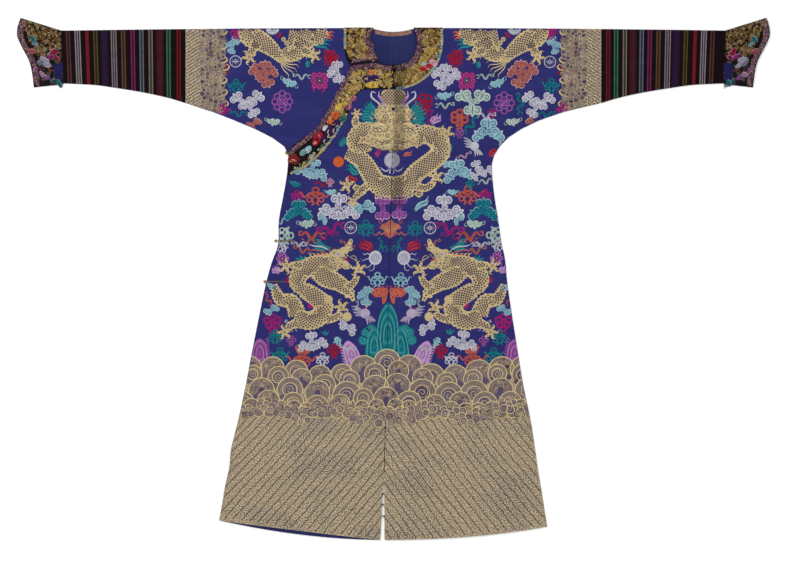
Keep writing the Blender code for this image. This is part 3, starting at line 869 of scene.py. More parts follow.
def back_neck_down(x):
    share = np.minimum(1.0, np.abs(x) / BACK_NECK_HALF)
    return float(fold_down(0.0)) + BACK_NECK_DEPTH * (1.0 - share * share)


def inside_the_back(name, node, x, top, bottom, skin):
    shares = np.linspace(0, 1, 14)
    grid_x = np.repeat(x[None, :], len(shares), 0)
    down = mix(top[None, :], bottom[None, :], shares[:, None])
    run = -run_at(grid_x, down)
    return shell(name, node, "left", grid_x, run, -GAP - BAND, BAND, skin)


def inside_pieces(binding_skin, lining_skin):
    across = np.linspace(-BACK_NECK_HALF, BACK_NECK_HALF, 33)
    inside_the_back("neck_binding_brocade", "neck_binding", across, back_neck_down(across),
                    back_neck_down(across) + BINDING_WIDTH, binding_skin)
    across = np.linspace(-LINING_HALF, LINING_HALF, 49)
    top = back_neck_down(across) + BINDING_WIDTH + GAP
    inside_the_back("neck_lining_silk", "neck_lining", across, top,
                    np.full(len(across), LINING_BOTTOM), lining_skin)
    across = -np.linspace(0.012, float(half_width("right", LENGTH)) - 0.004, 60)
    inside_the_back("hem_facing_silk", "hem_facing", across, np.full(60, FACING_TOP),
                    np.full(60, LENGTH), lining_skin)


# ================================================================ threads of the design
GOLD = (228, 205, 148)
OLD_GOLD = (206, 184, 140)
DULL_GOLD = (158, 134, 92)
SCALE_DARK = (62, 50, 76)
WHITE = (206, 204, 218)
PALE_GREEN = (182, 204, 192)
AQUA = (146, 194, 206)
TEAL = (18, 128, 138)
CORAL = (202, 92, 74)
OLD_ROSE = (186, 106, 92)
CRIMSON = (170, 26, 52)
MAGENTA = (172, 34, 120)
LAVENDER = (196, 148, 204)
PURPLE = (158, 84, 164)
PINK = (214, 162, 186)
NAVY = (36, 38, 100)
DUSK = (100, 94, 122)
ORANGE = (212, 100, 48)
BLACK = (26, 20, 22)
YELLOW = (218, 182, 70)
BROWN_GOLD = (150, 112, 58)
SPEAR = (0.1, 1.0, 0.95, 0.8, 0.05)      # widths along a flame, a leaf or a ribbon
ROPE = (0.35, 1.0, 1.0, 1.0, 0.35)


class Threads:
    """Raised figures of one kind of thread, gathered into one mesh."""

    def __init__(self, name, surface, limit=None):
        self.name = name
        self.surface = surface
        self.limit = limit
        self.points = []
        self.lifts = []
        self.tints = []
        self.faces = []
        self.count = 0

    def add(self, points, lifts, faces, tint):
        self.points.append(points)
        self.lifts.append(np.broadcast_to(np.asarray(lifts, float), (len(points),)))
        self.tints.append(np.broadcast_to(linear(tint), (len(points), 3)))
        count = self.count
        self.faces.extend([tuple(corner + count for corner in face) for face in faces])
        self.count += len(points)

    def piece(self, skin, slot, nodes):
        """Lay the figures on the cloth and make the mesh."""
        points = np.concatenate(self.points) * MM
        lifts = np.concatenate(self.lifts) * MM
        tints = np.concatenate(self.tints)
        x, down = points[:, 0], points[:, 1]
        faces = self.faces
        if self.limit is not None:
            low, high = self.limit(x, down)
            outside = (x < low) | (x > high)
            x = np.clip(x, low, high)
            faces = [face for face in faces if not all(outside[corner] for corner in face)]
        # Painted shade: threads on a strip just right of the centre seam, below the collar, are darkened to
        # stand for the shade and duller sheen of a fold there.
        painted_shade_strip = (x > 0.002) & (x < 0.033) & (down > 0.1) & (down < 0.49)
        tints = tints * np.where(painted_shade_strip, 0.55, 1.0)[:, None]
        used = np.unique(np.concatenate([np.asarray(face) for face in faces]))
        order = np.full(len(x), -1)
        order[used] = np.arange(len(used))
        faces = [[int(order[corner]) for corner in face] for face in faces]
        placed = self.surface(x[used], down[used], lifts[used])
        faces = facing_up(placed, faces)
        colour = np.hstack([tints[used], np.ones((len(used), 1))])
        piece = mesh_piece(self.name, placed, faces, skin, {"tint": colour})
        piece.data.shade_flat()
        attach(piece, "root")
        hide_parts(*nodes)
        return piece


def facing_up(points, faces):
    """The faces, each wound so that it looks up from the cloth."""
    corners = np.array([face[:3] for face in faces])
    first, second, third = (points[corners[:, index]] for index in range(3))
    one, two = second - first, third - first
    upward = one[:, 0] * two[:, 1] - one[:, 1] * two[:, 0]
    return [face if up >= 0 else face[::-1] for face, up in zip(faces, upward)]


def strip_faces(rows, columns):
    index = np.arange(rows * columns).reshape(rows, columns)
    quads = np.stack([index[:-1, :-1], index[:-1, 1:], index[1:, 1:], index[1:, :-1]], -1)
    return quads.reshape(-1, 4).tolist()


THIN = 3.0                # threads up to this width are a low open ridge of two faces
BROAD = 4.2               # threads over this width have points along their middle too
RIDGE = 0.03              # how much lower a thin thread is at its sides
FOOT = -0.1               # the edges of figures reach this far into the cloth
RING_STEP = 8.0           # largest gap between a patch's rings


def round_step(radius):
    """How far apart the points of a round line stand."""
    return min(6.2, max(1.8, 0.52 * radius))


class Pen:
    """Draws in its own millimetres, u across and v up, at one place of the pattern."""

    def __init__(self, threads, x, down, size=1.0, turn=0.0, mirror=False, lift=0.25):
        self.threads = threads
        self.centre = np.array([x, down], float)
        self.size = size
        self.turn = radians(turn) * (-1 if mirror else 1)
        self.mirror = mirror
        self.lift = lift

    def at(self, u, v, size=1.0, turn=0.0, mirror=False, lift=0.0):
        """A pen within this one."""
        x, down = self.placed(np.array([[u, v]], float))[0]
        inner = Pen(self.threads, x, down, self.size * size, lift=self.lift + lift)
        inner.turn = self.turn + radians(turn) * (-1 if self.mirror else 1)
        inner.mirror = self.mirror != mirror
        return inner

    def placed(self, points):
        u = points[:, 0] * self.size * (-1 if self.mirror else 1)
        v = points[:, 1] * self.size
        c, s = cos(self.turn), sin(self.turn)
        return np.stack([u * c - v * s, -(u * s + v * c)], -1) + self.centre

    def stroke(self, points, width, tint, lift=0.0, shape=ROPE, step=5.2, closed=False):
        """A raised line; shape is its width along it, as shares."""
        points = np.asarray(points, float)
        if closed:
            points = np.vstack([points, points[:1]])
        line = through(points, step / self.size, 1)
        along = np.gradient(line, axis=0)
        along = along / np.maximum(np.hypot(along[:, 0], along[:, 1]), 1e-9)[:, None]
        normal = np.stack([-along[:, 1], along[:, 0]], -1)
        share = np.linspace(0, 1, len(line))
        if closed:
            shape = (1.0, 1.0)
        half = 0.5 * np.interp(share, np.linspace(0, 1, len(shape)), shape) * width
        top = self.lift + lift
        if width * self.size > BROAD:
            across = np.array([-1.0, -0.84, 0.0, 0.84, 1.0])
            lifts = np.array([FOOT, 0.92 * top, top, 0.92 * top, FOOT])
        elif width * self.size > THIN:
            across = np.array([-1.0, -0.76, 0.76, 1.0])
            lifts = np.array([FOOT, top, top, FOOT])
        else:
            across = np.array([-0.84, 0.0, 0.84])
            lifts = top - RIDGE * np.abs(across)
        grid = line[:, None, :] + normal[:, None, :] * (half[:, None] * across)[..., None]
        self.threads.add(self.placed(grid.reshape(-1, 2)), np.tile(lifts, len(line)),
                         strip_faces(len(line), len(across)), tint)

    def filled(self, outline, middle, top, tint):
        """A patch of rings from its outline to its middle, close enough to follow the cloth."""
        count = len(outline)
        reach = np.hypot(*(outline - middle).T).max() * self.size
        shares = [0.10] + [share for share in np.arange(1, int(reach / RING_STEP) + 1)
                           / (int(reach / RING_STEP) + 1) if share > 0.14]
        rings = [outline] + [mix(outline, middle, share) for share in shares]
        points = np.vstack(rings + [middle[None]])
        lifts = np.concatenate([np.full(count, FOOT), np.full(count * len(shares) + 1, top)])
        ring = np.arange(count)
        after = np.roll(ring, -1)
        faces = []
        for row in range(len(shares)):
            low, high = row * count, (row + 1) * count
            faces += np.stack([ring + low, after + low, after + high, ring + high], -1).tolist()
        last = len(shares) * count
        faces += [(int(a) + last, int(b) + last, last + count) for a, b in zip(ring, after)]
        self.threads.add(self.placed(points), lifts, faces, tint)

    def blob(self, outline, tint, lift=0.0, centre=None, step=5.0, smoothed=True):
        """A raised patch inside a closed outline."""
        outline = np.asarray(outline, float)
        if smoothed:
            closed = np.vstack([outline[-1:], outline, outline[:2]])
            dense = through(closed, step / self.size)
            start = np.argmin(np.hypot(*(dense - outline[0]).T))
            end = len(dense) - 1 - np.argmin(np.hypot(*(dense[::-1] - outline[0]).T))
            outline = dense[start:end] if end > start + 3 else outline
        middle = outline.mean(0) if centre is None else np.asarray(centre, float)
        self.filled(outline, middle, self.lift + lift, tint)

    def disc(self, u, v, radius, tint, lift=0.0, squash=1.0, count=12):
        turns = np.arange(count) * 2 * pi / count
        outline = np.stack([u + radius * np.cos(turns), v + radius * squash * np.sin(turns)], -1)
        self.filled(outline, np.array([u, v], float), self.lift + lift, tint)

    def ring(self, u, v, radius, width, tint, lift=0.0, squash=1.0):
        turns = np.arange(14) * 2 * pi / 14
        outline = np.stack([u + radius * np.cos(turns), v + radius * squash * np.sin(turns)], -1)
        self.stroke(outline, width, tint, lift, step=round_step(radius * self.size), closed=True)

    def arch(self, radius, width, tint, lift):
        """The upper part of a ring, where the rest is covered."""
        turns = np.radians(np.linspace(-35, 215, 13))
        outline = np.stack([radius * np.cos(turns), radius * np.sin(turns)], -1)
        self.stroke(outline, width, tint, lift, shape=(1.0, 1.0), step=round_step(radius))

    def spiral(self, u, v, radius, turns, width, tint, lift=0.0, start=0.0, step=3.0):
        share = np.linspace(0.06, 1.0, int(9 * turns) + 4)
        angle = start + share * turns * 2 * pi
        line = np.stack([u + radius * share * np.cos(angle), v + radius * share * np.sin(angle)], -1)
        self.stroke(line, width, tint, lift, step=step)


def shade(tint, share):
    return tuple(channel * share for channel in tint)


def pale(tint, share):
    return tuple(channel + (238 - channel) * share for channel in tint)


# ---------------------------------------------------------------- clouds and small motifs
def cloud_head(pen, tint, size=1.0, turn=0.0):
    """A ruyi head: two curls and a crown, edged in a paler thread."""
    head = pen.at(0, 0, size, turn)
    crown = [(-13.5, 1), (-11, 7.5), (-6.5, 8.5), (-3.5, 6.5), (0, 12), (3.5, 6.5), (6.5, 8.5),
             (11, 7.5), (13.5, 1)]
    head.blob(crown + [(9.5, -4.5), (4.5, -4), (0, -8.5), (-4.5, -4), (-9.5, -4.5)], tint)
    edge = pale(tint, 0.55)
    dark = mix(np.array(NAVY), np.array(tint), 0.15)
    head.stroke(mix(np.array(crown), np.array([0.0, 1.0]), 0.06), 1.8, edge, 0.10)
    for side in (-1, 1):
        head.stroke([(side * 1.8, 2.5), (side * 5, 5.2), (side * 9.6, 4.6), (side * 10.2, 0.2),
                     (side * 6.8, -1.8), (side * 5.0, 1.2), (side * 7.2, 2.2)], 1.45, dark, 0.14)
        head.stroke([(side * 3.4, -3.0), (side * 7.4, -3.6)], 1.3, edge, 0.14)
    head.stroke([(0, 8.4), (0, 0.5), (0, -5.5)], 1.4, dark, 0.14)


def cloud(pen, tint, layout):
    """Ruyi heads joined by curling stems; layout holds (u, v, turn, size)."""
    dark = mix(np.array(NAVY), np.array(tint), 0.15)
    for u, v, turn, size in layout:
        u, v = u * CLOSE, v * CLOSE
        stem = [(0, 0), (u * 0.5 - v * 0.10, v * 0.5 + u * 0.10), (u, v)]
        pen.stroke(stem, 9.0, tint, -0.02, (1.0, 0.8, 0.8, 1.0))
        pen.stroke(stem, 1.4, dark, 0.10)
        pen.disc(u * 0.42 + v * 0.16, v * 0.42 - u * 0.16, 6.4, tint, 0.0)
        pen.spiral(u * 0.42 + v * 0.16, v * 0.42 - u * 0.16, 4.6, 1.3, 1.4, dark, 0.12, start=turn)
    pen.disc(0, 0, 7.0, tint, 0.02)
    pen.spiral(0, 0, 5.2, 1.4, 1.4, dark, 0.14)
    for index, (u, v, turn, size) in enumerate(layout):
        head = pen.at(u * CLOSE, v * CLOSE, 1.0, 0.0, lift=0.05 + 0.16 * index)
        cloud_head(head, tint, size * 1.02, turn)


CLOSE = 0.86              # how near a cloud's heads stand to its middle
THREE_UP = ((-24, -10, 50, 1.45), (24, -10, -50, 1.45), (0, 20, 0, 1.5))
THREE_DOWN = ((-25, 15, 20, 1.5), (25, 15, -20, 1.5), (0, -18, 180, 1.6))
THREE_LONG = ((-37, -8, 60, 1.45), (37, -8, -60, 1.45), (0, 25, 0, 1.45), (-17, -11, 150, 1.2),
              (17, -11, -150, 1.2), (0, -14, 180, 1.3))
TWO = ((-15, 6, 30, 1.35), (15, -6, -150, 1.35))
STACKED = ((0, 19, 0, 1.5), (0, -19, 180, 1.5))
FIVE = ((-30, 6, 60, 1.3), (-5, 27, 0, 1.35), (30, 14, -55, 1.35), (13, -8, -120, 1.2),
        (-13, -26, 160, 1.45))
SLOPING = ((-33, 20, 40, 1.4), (-13, 4, 30, 1.2), (8, -9, -20, 1.2), (31, 16, -40, 1.4),
           (-20, -27, 150, 1.3))
CORNER = ((0, 26, 0, 1.35), (19, 2, -70, 1.35), (-5, -18, 170, 1.4))


def bat(pen, tint):
    """A small bat of ribbed ovals with curled wing ends."""
    edge = pale(tint, 0.4)
    dark = shade(tint, 0.5)
    pen.blob([(-19, 5), (-12, 10), (-4, 6), (3, 9), (11, 4), (19, 7), (15, -3), (8, -7), (0, -5),
              (-8, -8), (-15, -3)], tint)
    for u in (-13, -7, -1, 5, 11):
        pen.stroke([(u - 2, -5), (u, 0), (u + 1, 6)], 1.2, dark, 0.12)
    pen.stroke([(-19, 5), (-12, 10), (-4, 6), (3, 9), (11, 4), (19, 7)], 1.4, edge, 0.12)
    pen.stroke([(15, -2), (22, 0), (24, 6), (19, 8)], 2.0, tint)
    pen.stroke([(-15, -2), (-21, -5), (-24, -1), (-21, 3)], 2.0, tint)
    pen.disc(0, -8, 3.4, tint, 0.05)


def wavy(start, end, height, bends):
    """Points of an even S line between two points."""
    share = np.linspace(0, 1, bends * 4 + 1)
    start, end = np.array(start, float), np.array(end, float)
    along = end - start
    normal = np.array([-along[1], along[0]]) / max(hypot(*along), 1e-6)
    sway = height * np.sin(share * bends * pi) * (0.6 + 0.4 * np.sin(share * pi))
    return start + share[:, None] * along + sway[:, None] * normal


def ribbon(pen, tint, width=5.4):
    """A loose S of ribbon with a curled end and a forked end."""
    line = wavy((-19, 0), (19, 0), 8.0, 3)
    pen.stroke(line, width, tint, shape=(0.3, 1.0, 1.0, 1.0, 0.9, 0.5))
    pen.stroke(line, 1.3, shade(tint, 0.5), 0.12)
    pen.stroke([(18, 0), (25, 1), (24, 8), (18, 7)], width * 0.7, tint)
    pen.stroke([(-17, 1), (-24, 5), (-29, 2)], width * 0.65, tint, shape=SPEAR)
    pen.stroke([(-17, 0), (-22, -5), (-28, -6)], width * 0.6, tint, shape=SPEAR)


def bow(pen, tint, petals=5, spread=13, loop=7.4, width=5.2):
    """Looped ribbon: rings of ribbon round a middle, and two trailing ends."""
    for index in range(petals):
        angle = pi / 2 + index * 2 * pi / petals
        u, v = spread * cos(angle), spread * 0.85 * sin(angle)
        pen.ring(u, v, loop, width, tint, 0.02 * index, 0.85)
        pen.ring(u, v, loop, 0.9, shade(tint, 0.55), 0.02 * index + 0.12, 0.85)
        pen.stroke([(0, 0), (u * 0.6, v * 0.6)], width, tint)
    for side in (-1, 1):
        pen.stroke([(side * 2, -spread * 0.6), (side * 7, -spread - 5), (side * 2, -spread - 11),
                    (side * 9, -spread - 15)], width * 0.9, tint, -0.01, (0.8, 1.0, 0.9, 0.3))
    pen.disc(0, 0, 5.4, tint, 0.12)
    pen.disc(0, 0, 2.2, shade(tint, 0.5), 0.2)


def trailing(pen, tint, reach=34, width=4.0):
    """A ribbon tied in the middle, with waving ends each way."""
    bow(pen, tint, 3, 9, 6.8, width)
    for side in (-1, 1):
        pen.stroke(wavy((side * 6, -4), (side * reach, 0), 5.5 * side, 3), width, tint,
                   shape=(0.7, 1.0, 1.0, 0.8, 0.2))
        pen.stroke([(side * 3, -6), (side * 8, -14), (side * 3, -22), (side * 8, -26)], width, tint)
        pen.ring(side * 13, -13, 5.0, width * 0.75, tint, 0.03)


def flower(pen, tint, heart=TEAL, petals=8, radius=15):
    """Loops of ribbon round a dark eye, the loops uneven and the ends loose."""
    for index in range(petals):
        angle = index * 2 * pi / petals
        reach = radius * (1.0, 1.25, 0.95, 1.15)[index % 4]
        u, v = reach * cos(angle), reach * sin(angle)
        pen.stroke([(0, 0), (u, v)], 5.6, tint, -0.01)
        pen.ring(u, v, 4.6, 4.6, tint)
        pen.ring(u, v, 4.4, 1.2, pale(tint, 0.3), 0.12)
    pen.stroke([(-6, -radius), (-12, -radius - 8), (-5, -radius - 13)], 4.4, tint)
    pen.stroke([(8, -radius), (15, -radius - 6), (13, -radius - 13)], 4.4, tint)
    pen.disc(0, 0, 8.4, shade(tint, 0.5), 0.16)
    pen.ring(0, 0, 5.8, 1.8, heart, 0.30)
    pen.disc(0, 0, 2.4, PINK, 0.34)


def endless_knot(pen, tint):
    for u, v in ((-12, 12), (12, 12), (-12, -12), (12, -12), (0, 0), (0, 19), (0, -19), (17, 0), (-17, 0)):
        pen.ring(u, v, 6.6, 3.2, tint, 0.01 * (u + v) / 10)
    pen.stroke([(-12, 12), (0, 0), (12, -12)], 2.4, tint, 0.1)
    pen.stroke([(12, 12), (0, 0), (-12, -12)], 2.4, pale(tint, 0.2), 0.14)


def flames(pen, tint, count=3, length=26, width=6.5):
    for index in range(count):
        v = (index - (count - 1) / 2) * width * 1.15
        reach = length * (1.0 - 0.12 * abs(index - 1))
        pen.stroke([(0, v * 0.5), (reach * 0.4, v + 3), (reach * 0.75, v - 2), (reach, v + 4)],
                   width * 1.15, tint, shape=SPEAR)
        pen.stroke([(2, v * 0.5), (reach * 0.4, v + 3), (reach * 0.75, v - 2)], 1.4,
                   pale(tint, 0.4), 0.14, SPEAR)
        pen.stroke([(3, v * 0.5 - 2), (reach * 0.4, v + 0.6), (reach * 0.7, v - 4)], 1.1,
                   shade(tint, 0.5), 0.14, SPEAR)


def leaves(pen, tint):
    for turn in (35, 75, 115):
        leaf = pen.at(0, 0, 1.0, turn)
        leaf.stroke([(0, 0), (9, 2.5), (20, 0)], 6.5, tint, shape=SPEAR)
        leaf.stroke([(2, 0), (9, 2), (17, 0)], 1.0, pale(tint, 0.35), 0.12)


def bud(pen, tint):
    pen.blob([(0, 12), (7, 4), (6, -6), (0, -10), (-6, -6), (-7, 4)], tint)
    pen.stroke([(0, 10), (3, 2), (0, -7)], 1.4, pale(tint, 0.4), 0.14)
    pen.stroke([(-4, 3), (-2, -5)], 1.2, shade(tint, 0.5), 0.14)


def roundel(pen, tint, radius=15):
    """A round seal of plain bars, with no character in it."""
    pen.ring(0, 0, radius, 2.4, tint)
    for u in (-7.5, 0, 7.5):
        reach = sqrt(max(1.0, (radius - 3) ** 2 - u * u))
        pen.stroke([(u, -reach), (u, -3)], 2.2, tint)
        pen.stroke([(u, reach), (u, 3)], 2.2, tint)
    pen.stroke([(-radius + 3, 0), (radius - 3, 0)], 2.2, tint)
    pen.ring(0, 0, 4.5, 1.8, tint)


def round_pearl(pen, tint, radius=18):
    pen.disc(0, 0, radius, tint, 0.0, count=20)
    for share in (0.88, 0.6, 0.32):
        pen.ring(0, 0, radius * share, 1.4, shade(tint, 0.45), 0.14)
    for angle in range(0, 360, 45):
        u, v = cos(radians(angle)), sin(radians(angle))
        pen.stroke([(u * radius * 0.36, v * radius * 0.36), (u * radius * 0.56, v * radius * 0.56)],
                   1.5, shade(tint, 0.5), 0.14)


def crane(pen, tint):
    """A flying crane: long neck up to one side, ribbed wings and tail below."""
    dark = shade(tint, 0.5)
    pen.blob([(-6, 8), (6, 10), (14, 2), (10, -10), (0, -12), (-10, -4)], tint)
    pen.stroke([(2, 8), (8, 17), (15, 24), (21, 28)], 3.0, tint, shape=SPEAR)
    for index, reach in enumerate((30, 28, 25, 21)):
        v = 10 - index * 6
        pen.stroke([(-4, v * 0.6), (-16, v + 3), (-reach, v + 6 - index)], 4.4, tint, shape=SPEAR)
        pen.stroke([(-4, v * 0.6), (-16, v + 3), (-reach + 4, v + 5 - index)], 1.0, dark, 0.14)
        u = 4 + index * 6
        pen.stroke([(u * 0.6, -6), (u + 4, -18), (u + 5, -27 + index * 3)], 4.4, tint, shape=SPEAR)
        pen.stroke([(u * 0.6, -6), (u + 4, -18)], 1.0, dark, 0.14)
    pen.stroke([(-8, 14), (-2, 12), (4, 13)], 2.0, CRIMSON, 0.1)


def lotus(pen, tint):
    """A heavy pointed bloom over waving ribbons."""
    pen.blob([(0, 27), (10, 18), (24, 12), (30, 2), (18, -4), (10, -16), (0, -28), (-10, -16),
              (-18, -4), (-30, 2), (-24, 12), (-10, 18)], tint)
    for u in (-20, -12, -4, 4, 12, 20):
        pen.stroke([(u, 12 - abs(u) * 0.2), (u * 0.75, 2), (u * 0.35, -10)], 1.6,
                   shade(GOLD, 0.85), 0.14)
        pen.disc(u * 1.05, 4, 3.0, OLD_ROSE, 0.16)
    for side in (-1, 1):
        pen.stroke([(side * 14, -8), (side * 24, -16), (side * 30, -8), (side * 38, -18),
                    (side * 50, -10)], 4.0, OLD_ROSE, shape=(0.8, 1.0, 1.0, 0.9, 0.2))
        pen.ring(side * 9, -14, 5.5, 2.6, CORAL, 0.1)
        pen.ring(side * 27, 20, 4.5, 2.0, CORAL, 0.05)


def pearl_with_ribbons(pen, outward):
    """A white spiral disc with white ribbons, as under the lotus."""
    for reach in ((22, 12), (26, -4), (16, -24), (4, -32)):
        u, v = reach
        pen.stroke([(outward * u * 0.4, v * 0.5), (outward * u, v), (outward * (u + 8), v - 4),
                    (outward * (u + 14), v + 3)], 2.6, WHITE, shape=SPEAR)
    pen.stroke([(0, 8), (outward * 10, 22), (outward * 22, 26), (outward * 28, 18)], 4.5, CRIMSON,
               shape=SPEAR)
    pen.at(-outward * 14, 20).stroke([(0, -8), (-6, 2), (3, 8), (8, 0), (2, -5)], 3.4, TEAL)
    pen.disc(0, 0, 18, WHITE, 0.1, 1.12, 18)
    pen.spiral(0, 0, 14, 3.0, 1.5, NAVY, 0.24)


def contours(pen, outline, tint, centre, shares=(0.16, 0.36, 0.56, 0.76)):
    """A patch with its outline repeated inside it, pale and dark by turns."""
    pen.blob(outline, tint, centre=centre)
    for index, share in enumerate(shares):
        line = mix(np.asarray(outline, float), np.asarray(centre, float), share)
        pen.stroke(line, 1.9, (pale(tint, 0.38), shade(tint, 0.55))[index % 2], 0.14, closed=True)


def rock(pen, tint):
    """A leaning slab of rock, ridged inside, with fins down its outer side."""
    for v in range(-34, 44, 9):
        pen.stroke([(-16, v - 3), (-24, v + 2), (-29, v + 9)], 4.8, tint, -0.02, SPEAR)
    contours(pen, [(-19, -44), (-22, 0), (-20, 28), (-6, 44), (4, 44), (18, 26), (25, 0), (28, -44)],
             tint, (2, 4))
    low = pen.at(14, -26, lift=0.10)
    contours(low, [(-12, -26), (-12, 0), (0, 14), (12, 2), (15, -26)], tint, (1, -6), (0.2, 0.45, 0.7))


def main_mountain(pen, tint):
    """The rock on the centre line: a narrow peak on rounded shoulders."""
    for sign in (-1, 1):
        for u, v, radius in ((58, 34, 15), (66, 14, 14), (46, 46, 12)):
            pen.disc(sign * u, v, radius, tint, 0.0, count=16)
            pen.spiral(sign * u, v, radius * 0.8, 1.8, 1.9, pale(tint, 0.35), 0.12, start=1.5)
        contours(pen.at(sign * 36, 0, lift=0.08),
                 [(-22, -44), (-20, 20), (-8, 50), (4, 52), (18, 20), (24, -44)], tint, (0, 0))
    contours(pen.at(0, 0, lift=0.16),
             [(-30, -44), (-31, 20), (-28, 66), (-17, 100), (0, 118), (17, 100), (28, 66), (31, 20),
              (30, -44)], tint, (0, 34), (0.10, 0.24, 0.38, 0.52, 0.66, 0.80))


# ---------------------------------------------------------------- dragons
def spikes(pen, line, half, side, tint, lift, pitch=7.5, height=4.0):
    """Pointed scales along one edge of a ribbon."""
    steps = np.concatenate([[0], np.cumsum(np.hypot(*np.diff(line, axis=0).T))])
    count = max(2, int(steps[-1] / pitch))
    for index in range(count):
        at = steps[-1] * (index + 0.5) / count
        centre = np.array([np.interp(at, steps, line[:, axis]) for axis in (0, 1)])
        ahead = np.array([np.interp(min(at + 2, steps[-1]), steps, line[:, axis]) for axis in (0, 1)])
        along = ahead - centre
        along = along / max(hypot(*along), 1e-6)
        normal = np.array([-along[1], along[0]]) * side
        reach = np.interp(at, steps, half)
        base = centre + normal * (reach - 0.8)
        tip = centre + normal * (reach + height) - along * 1.6
        points = np.array([base - along * pitch * 0.46, base + along * pitch * 0.46, tip])
        pen.threads.add(pen.placed(points), [pen.lift + lift, pen.lift + lift, -0.05],
                        [(0, 1, 2)], tint)


def scaled_body(pen, path, widths, lift=0.25, tint=OLD_GOLD, edged=(1, -1), spiny=(1, -1)):
    """A dragon's body: a broad gold ribbon covered in rows of scales."""
    path = np.asarray(path, float)
    line = through(path, 4.5 / pen.size)
    spread = np.interp(np.linspace(0, 1, len(line)), np.linspace(0, 1, len(widths)), widths)
    half = spread / 2
    along = np.gradient(line, axis=0)
    along = along / np.maximum(np.hypot(along[:, 0], along[:, 1]), 1e-9)[:, None]
    normal = np.stack([-along[:, 1], along[:, 0]], -1)
    steps = np.concatenate([[0], np.cumsum(np.hypot(*np.diff(line, axis=0).T))])
    bend = np.gradient(np.unwrap(np.arctan2(along[:, 1], along[:, 0])), steps)
    left = np.minimum(half, 0.9 / np.maximum(bend, 1e-6))
    right = np.minimum(half, 0.9 / np.maximum(-bend, 1e-6))
    across = np.array([-1.0, -0.9, -0.6, -0.3, 0.0, 0.3, 0.6, 0.9, 1.0])
    reaches = np.where(across > 0, left[:, None], right[:, None])
    grid = line[:, None, :] + normal[:, None, :] * (reaches * across)[..., None]
    top = pen.lift + lift
    rise = np.array([FOOT] + [top] * 7 + [FOOT])
    pen.threads.add(pen.placed(grid.reshape(-1, 2)), np.tile(rise, len(line)),
                    strip_faces(len(line), len(across)), tint)
    pitch = 4.4
    marks = []
    row = 0
    at = pitch
    while at < steps[-1] - 2:
        centre = np.array([np.interp(at, steps, line[:, axis]) for axis in (0, 1)])
        facing = np.array([np.interp(at, steps, along[:, axis]) for axis in (0, 1)])
        facing = facing / hypot(*facing)
        side = np.array([-facing[1], facing[0]])
        reach = float(np.interp(at, steps, half)) - 3.4
        count = int(reach * 2 / 8.8)
        offsets = (np.arange(-count // 2 - 1, count // 2 + 2) + 0.5 * (row % 2)) * 8.8
        for offset in offsets:
            middle = centre + side * offset
            crowded = marks and np.hypot(*(np.array(marks) - middle).T).min() < 5.4
            if abs(offset) > reach or crowded:
                continue
            marks.append(middle)
            scale_mark(pen, middle, facing, side, top)
        row += 1
        at += pitch
    for edge in edged:
        outline = line + normal * ((left if edge > 0 else right) * edge)[:, None]
        pen.stroke(outline[::2], 2.2, GOLD, lift + 0.10)
    for edge in spiny:
        spikes(pen, line, left if edge > 0 else right, edge, GOLD, lift)


def scale_mark(pen, middle, facing, side, top):
    """The dark heart of one scale."""
    points = np.array([middle - facing * 3.0, middle + side * 3.3, middle + facing * 2.8,
                       middle - side * 3.3, middle])
    pen.threads.add(pen.placed(points), [top + 0.02, top + 0.02, top + 0.02, top + 0.02, top + 0.12],
                    [(0, 1, 4), (1, 2, 4), (2, 3, 4), (3, 0, 4)], SCALE_DARK)


def claw(pen, size=1.0, fingers=5):
    """An open foot of five thick hooked toes round a pad; the leg comes from below."""
    foot = pen.at(0, 0, size, lift=0.3)
    foot.disc(0, 0, 10.0, OLD_GOLD, 0.22)
    foot.ring(0, 0, 8.6, 1.6, GOLD, 0.32)
    foot.spiral(0, 0, 6.0, 1.4, 1.7, SCALE_DARK, 0.32)
    for index in range(fingers):
        angle = radians(-40 + index * 260 / (fingers - 1))
        u, v = cos(angle), sin(angle)
        foot.stroke([(u * 6, v * 6), (u * 12, v * 12), (u * 17 - v * 4, v * 17 + u * 4)], 9.0,
                    OLD_GOLD, 0.24 + 0.015 * index, (0.9, 1.0, 1.0, 0.9))
        foot.ring(u * 13.5 - v, v * 13.5 + u, 3.2, 1.5, GOLD, 0.36)
        foot.disc(u * 13.5 - v, v * 13.5 + u, 1.6, SCALE_DARK, 0.36, count=6)
        foot.stroke([(u * 16 - v * 5, v * 16 + u * 5), (u * 22 - v * 3, v * 22 + u * 3),
                     (u * 24 + v * 4, v * 24 - u * 4)], 4.2, GOLD, 0.26, (1.0, 0.8, 0.2))
        foot.stroke([(u * 8 + v * 4, v * 8 - u * 4), (u * 14 + v * 4, v * 14 - u * 4)], 1.2,
                    SCALE_DARK, 0.36)


def mane(pen, tint, turns, length=46, width=8.0):
    for index, turn in enumerate(turns):
        lock = pen.at(0, 0, 1.0, turn)
        lock.stroke([(0, 0), (length * 0.4, 3), (length * 0.8, -2), (length, 3)], width, tint,
                    -0.02 + 0.02 * (index % 2), SPEAR)
        lock.stroke([(4, 0), (length * 0.4, 3), (length * 0.85, -1)], 1.3, pale(tint, 0.3), 0.14)
        lock.stroke([(4, -2), (length * 0.4, 0.5), (length * 0.7, -3)], 1.0, shade(tint, 0.5), 0.14)


def curl_edge(pen, points, radius, tint=GOLD, lift=0.3):
    """A run of small curls, as round a dragon's jaw."""
    for index, (u, v) in enumerate(points):
        pen.disc(u, v, radius, OLD_GOLD, lift)
        pen.ring(u, v, radius * 0.92, 1.5, tint, lift + 0.10)
        pen.spiral(u, v, radius * 0.72, 1.4, 1.5, SCALE_DARK, lift + 0.12, start=index)


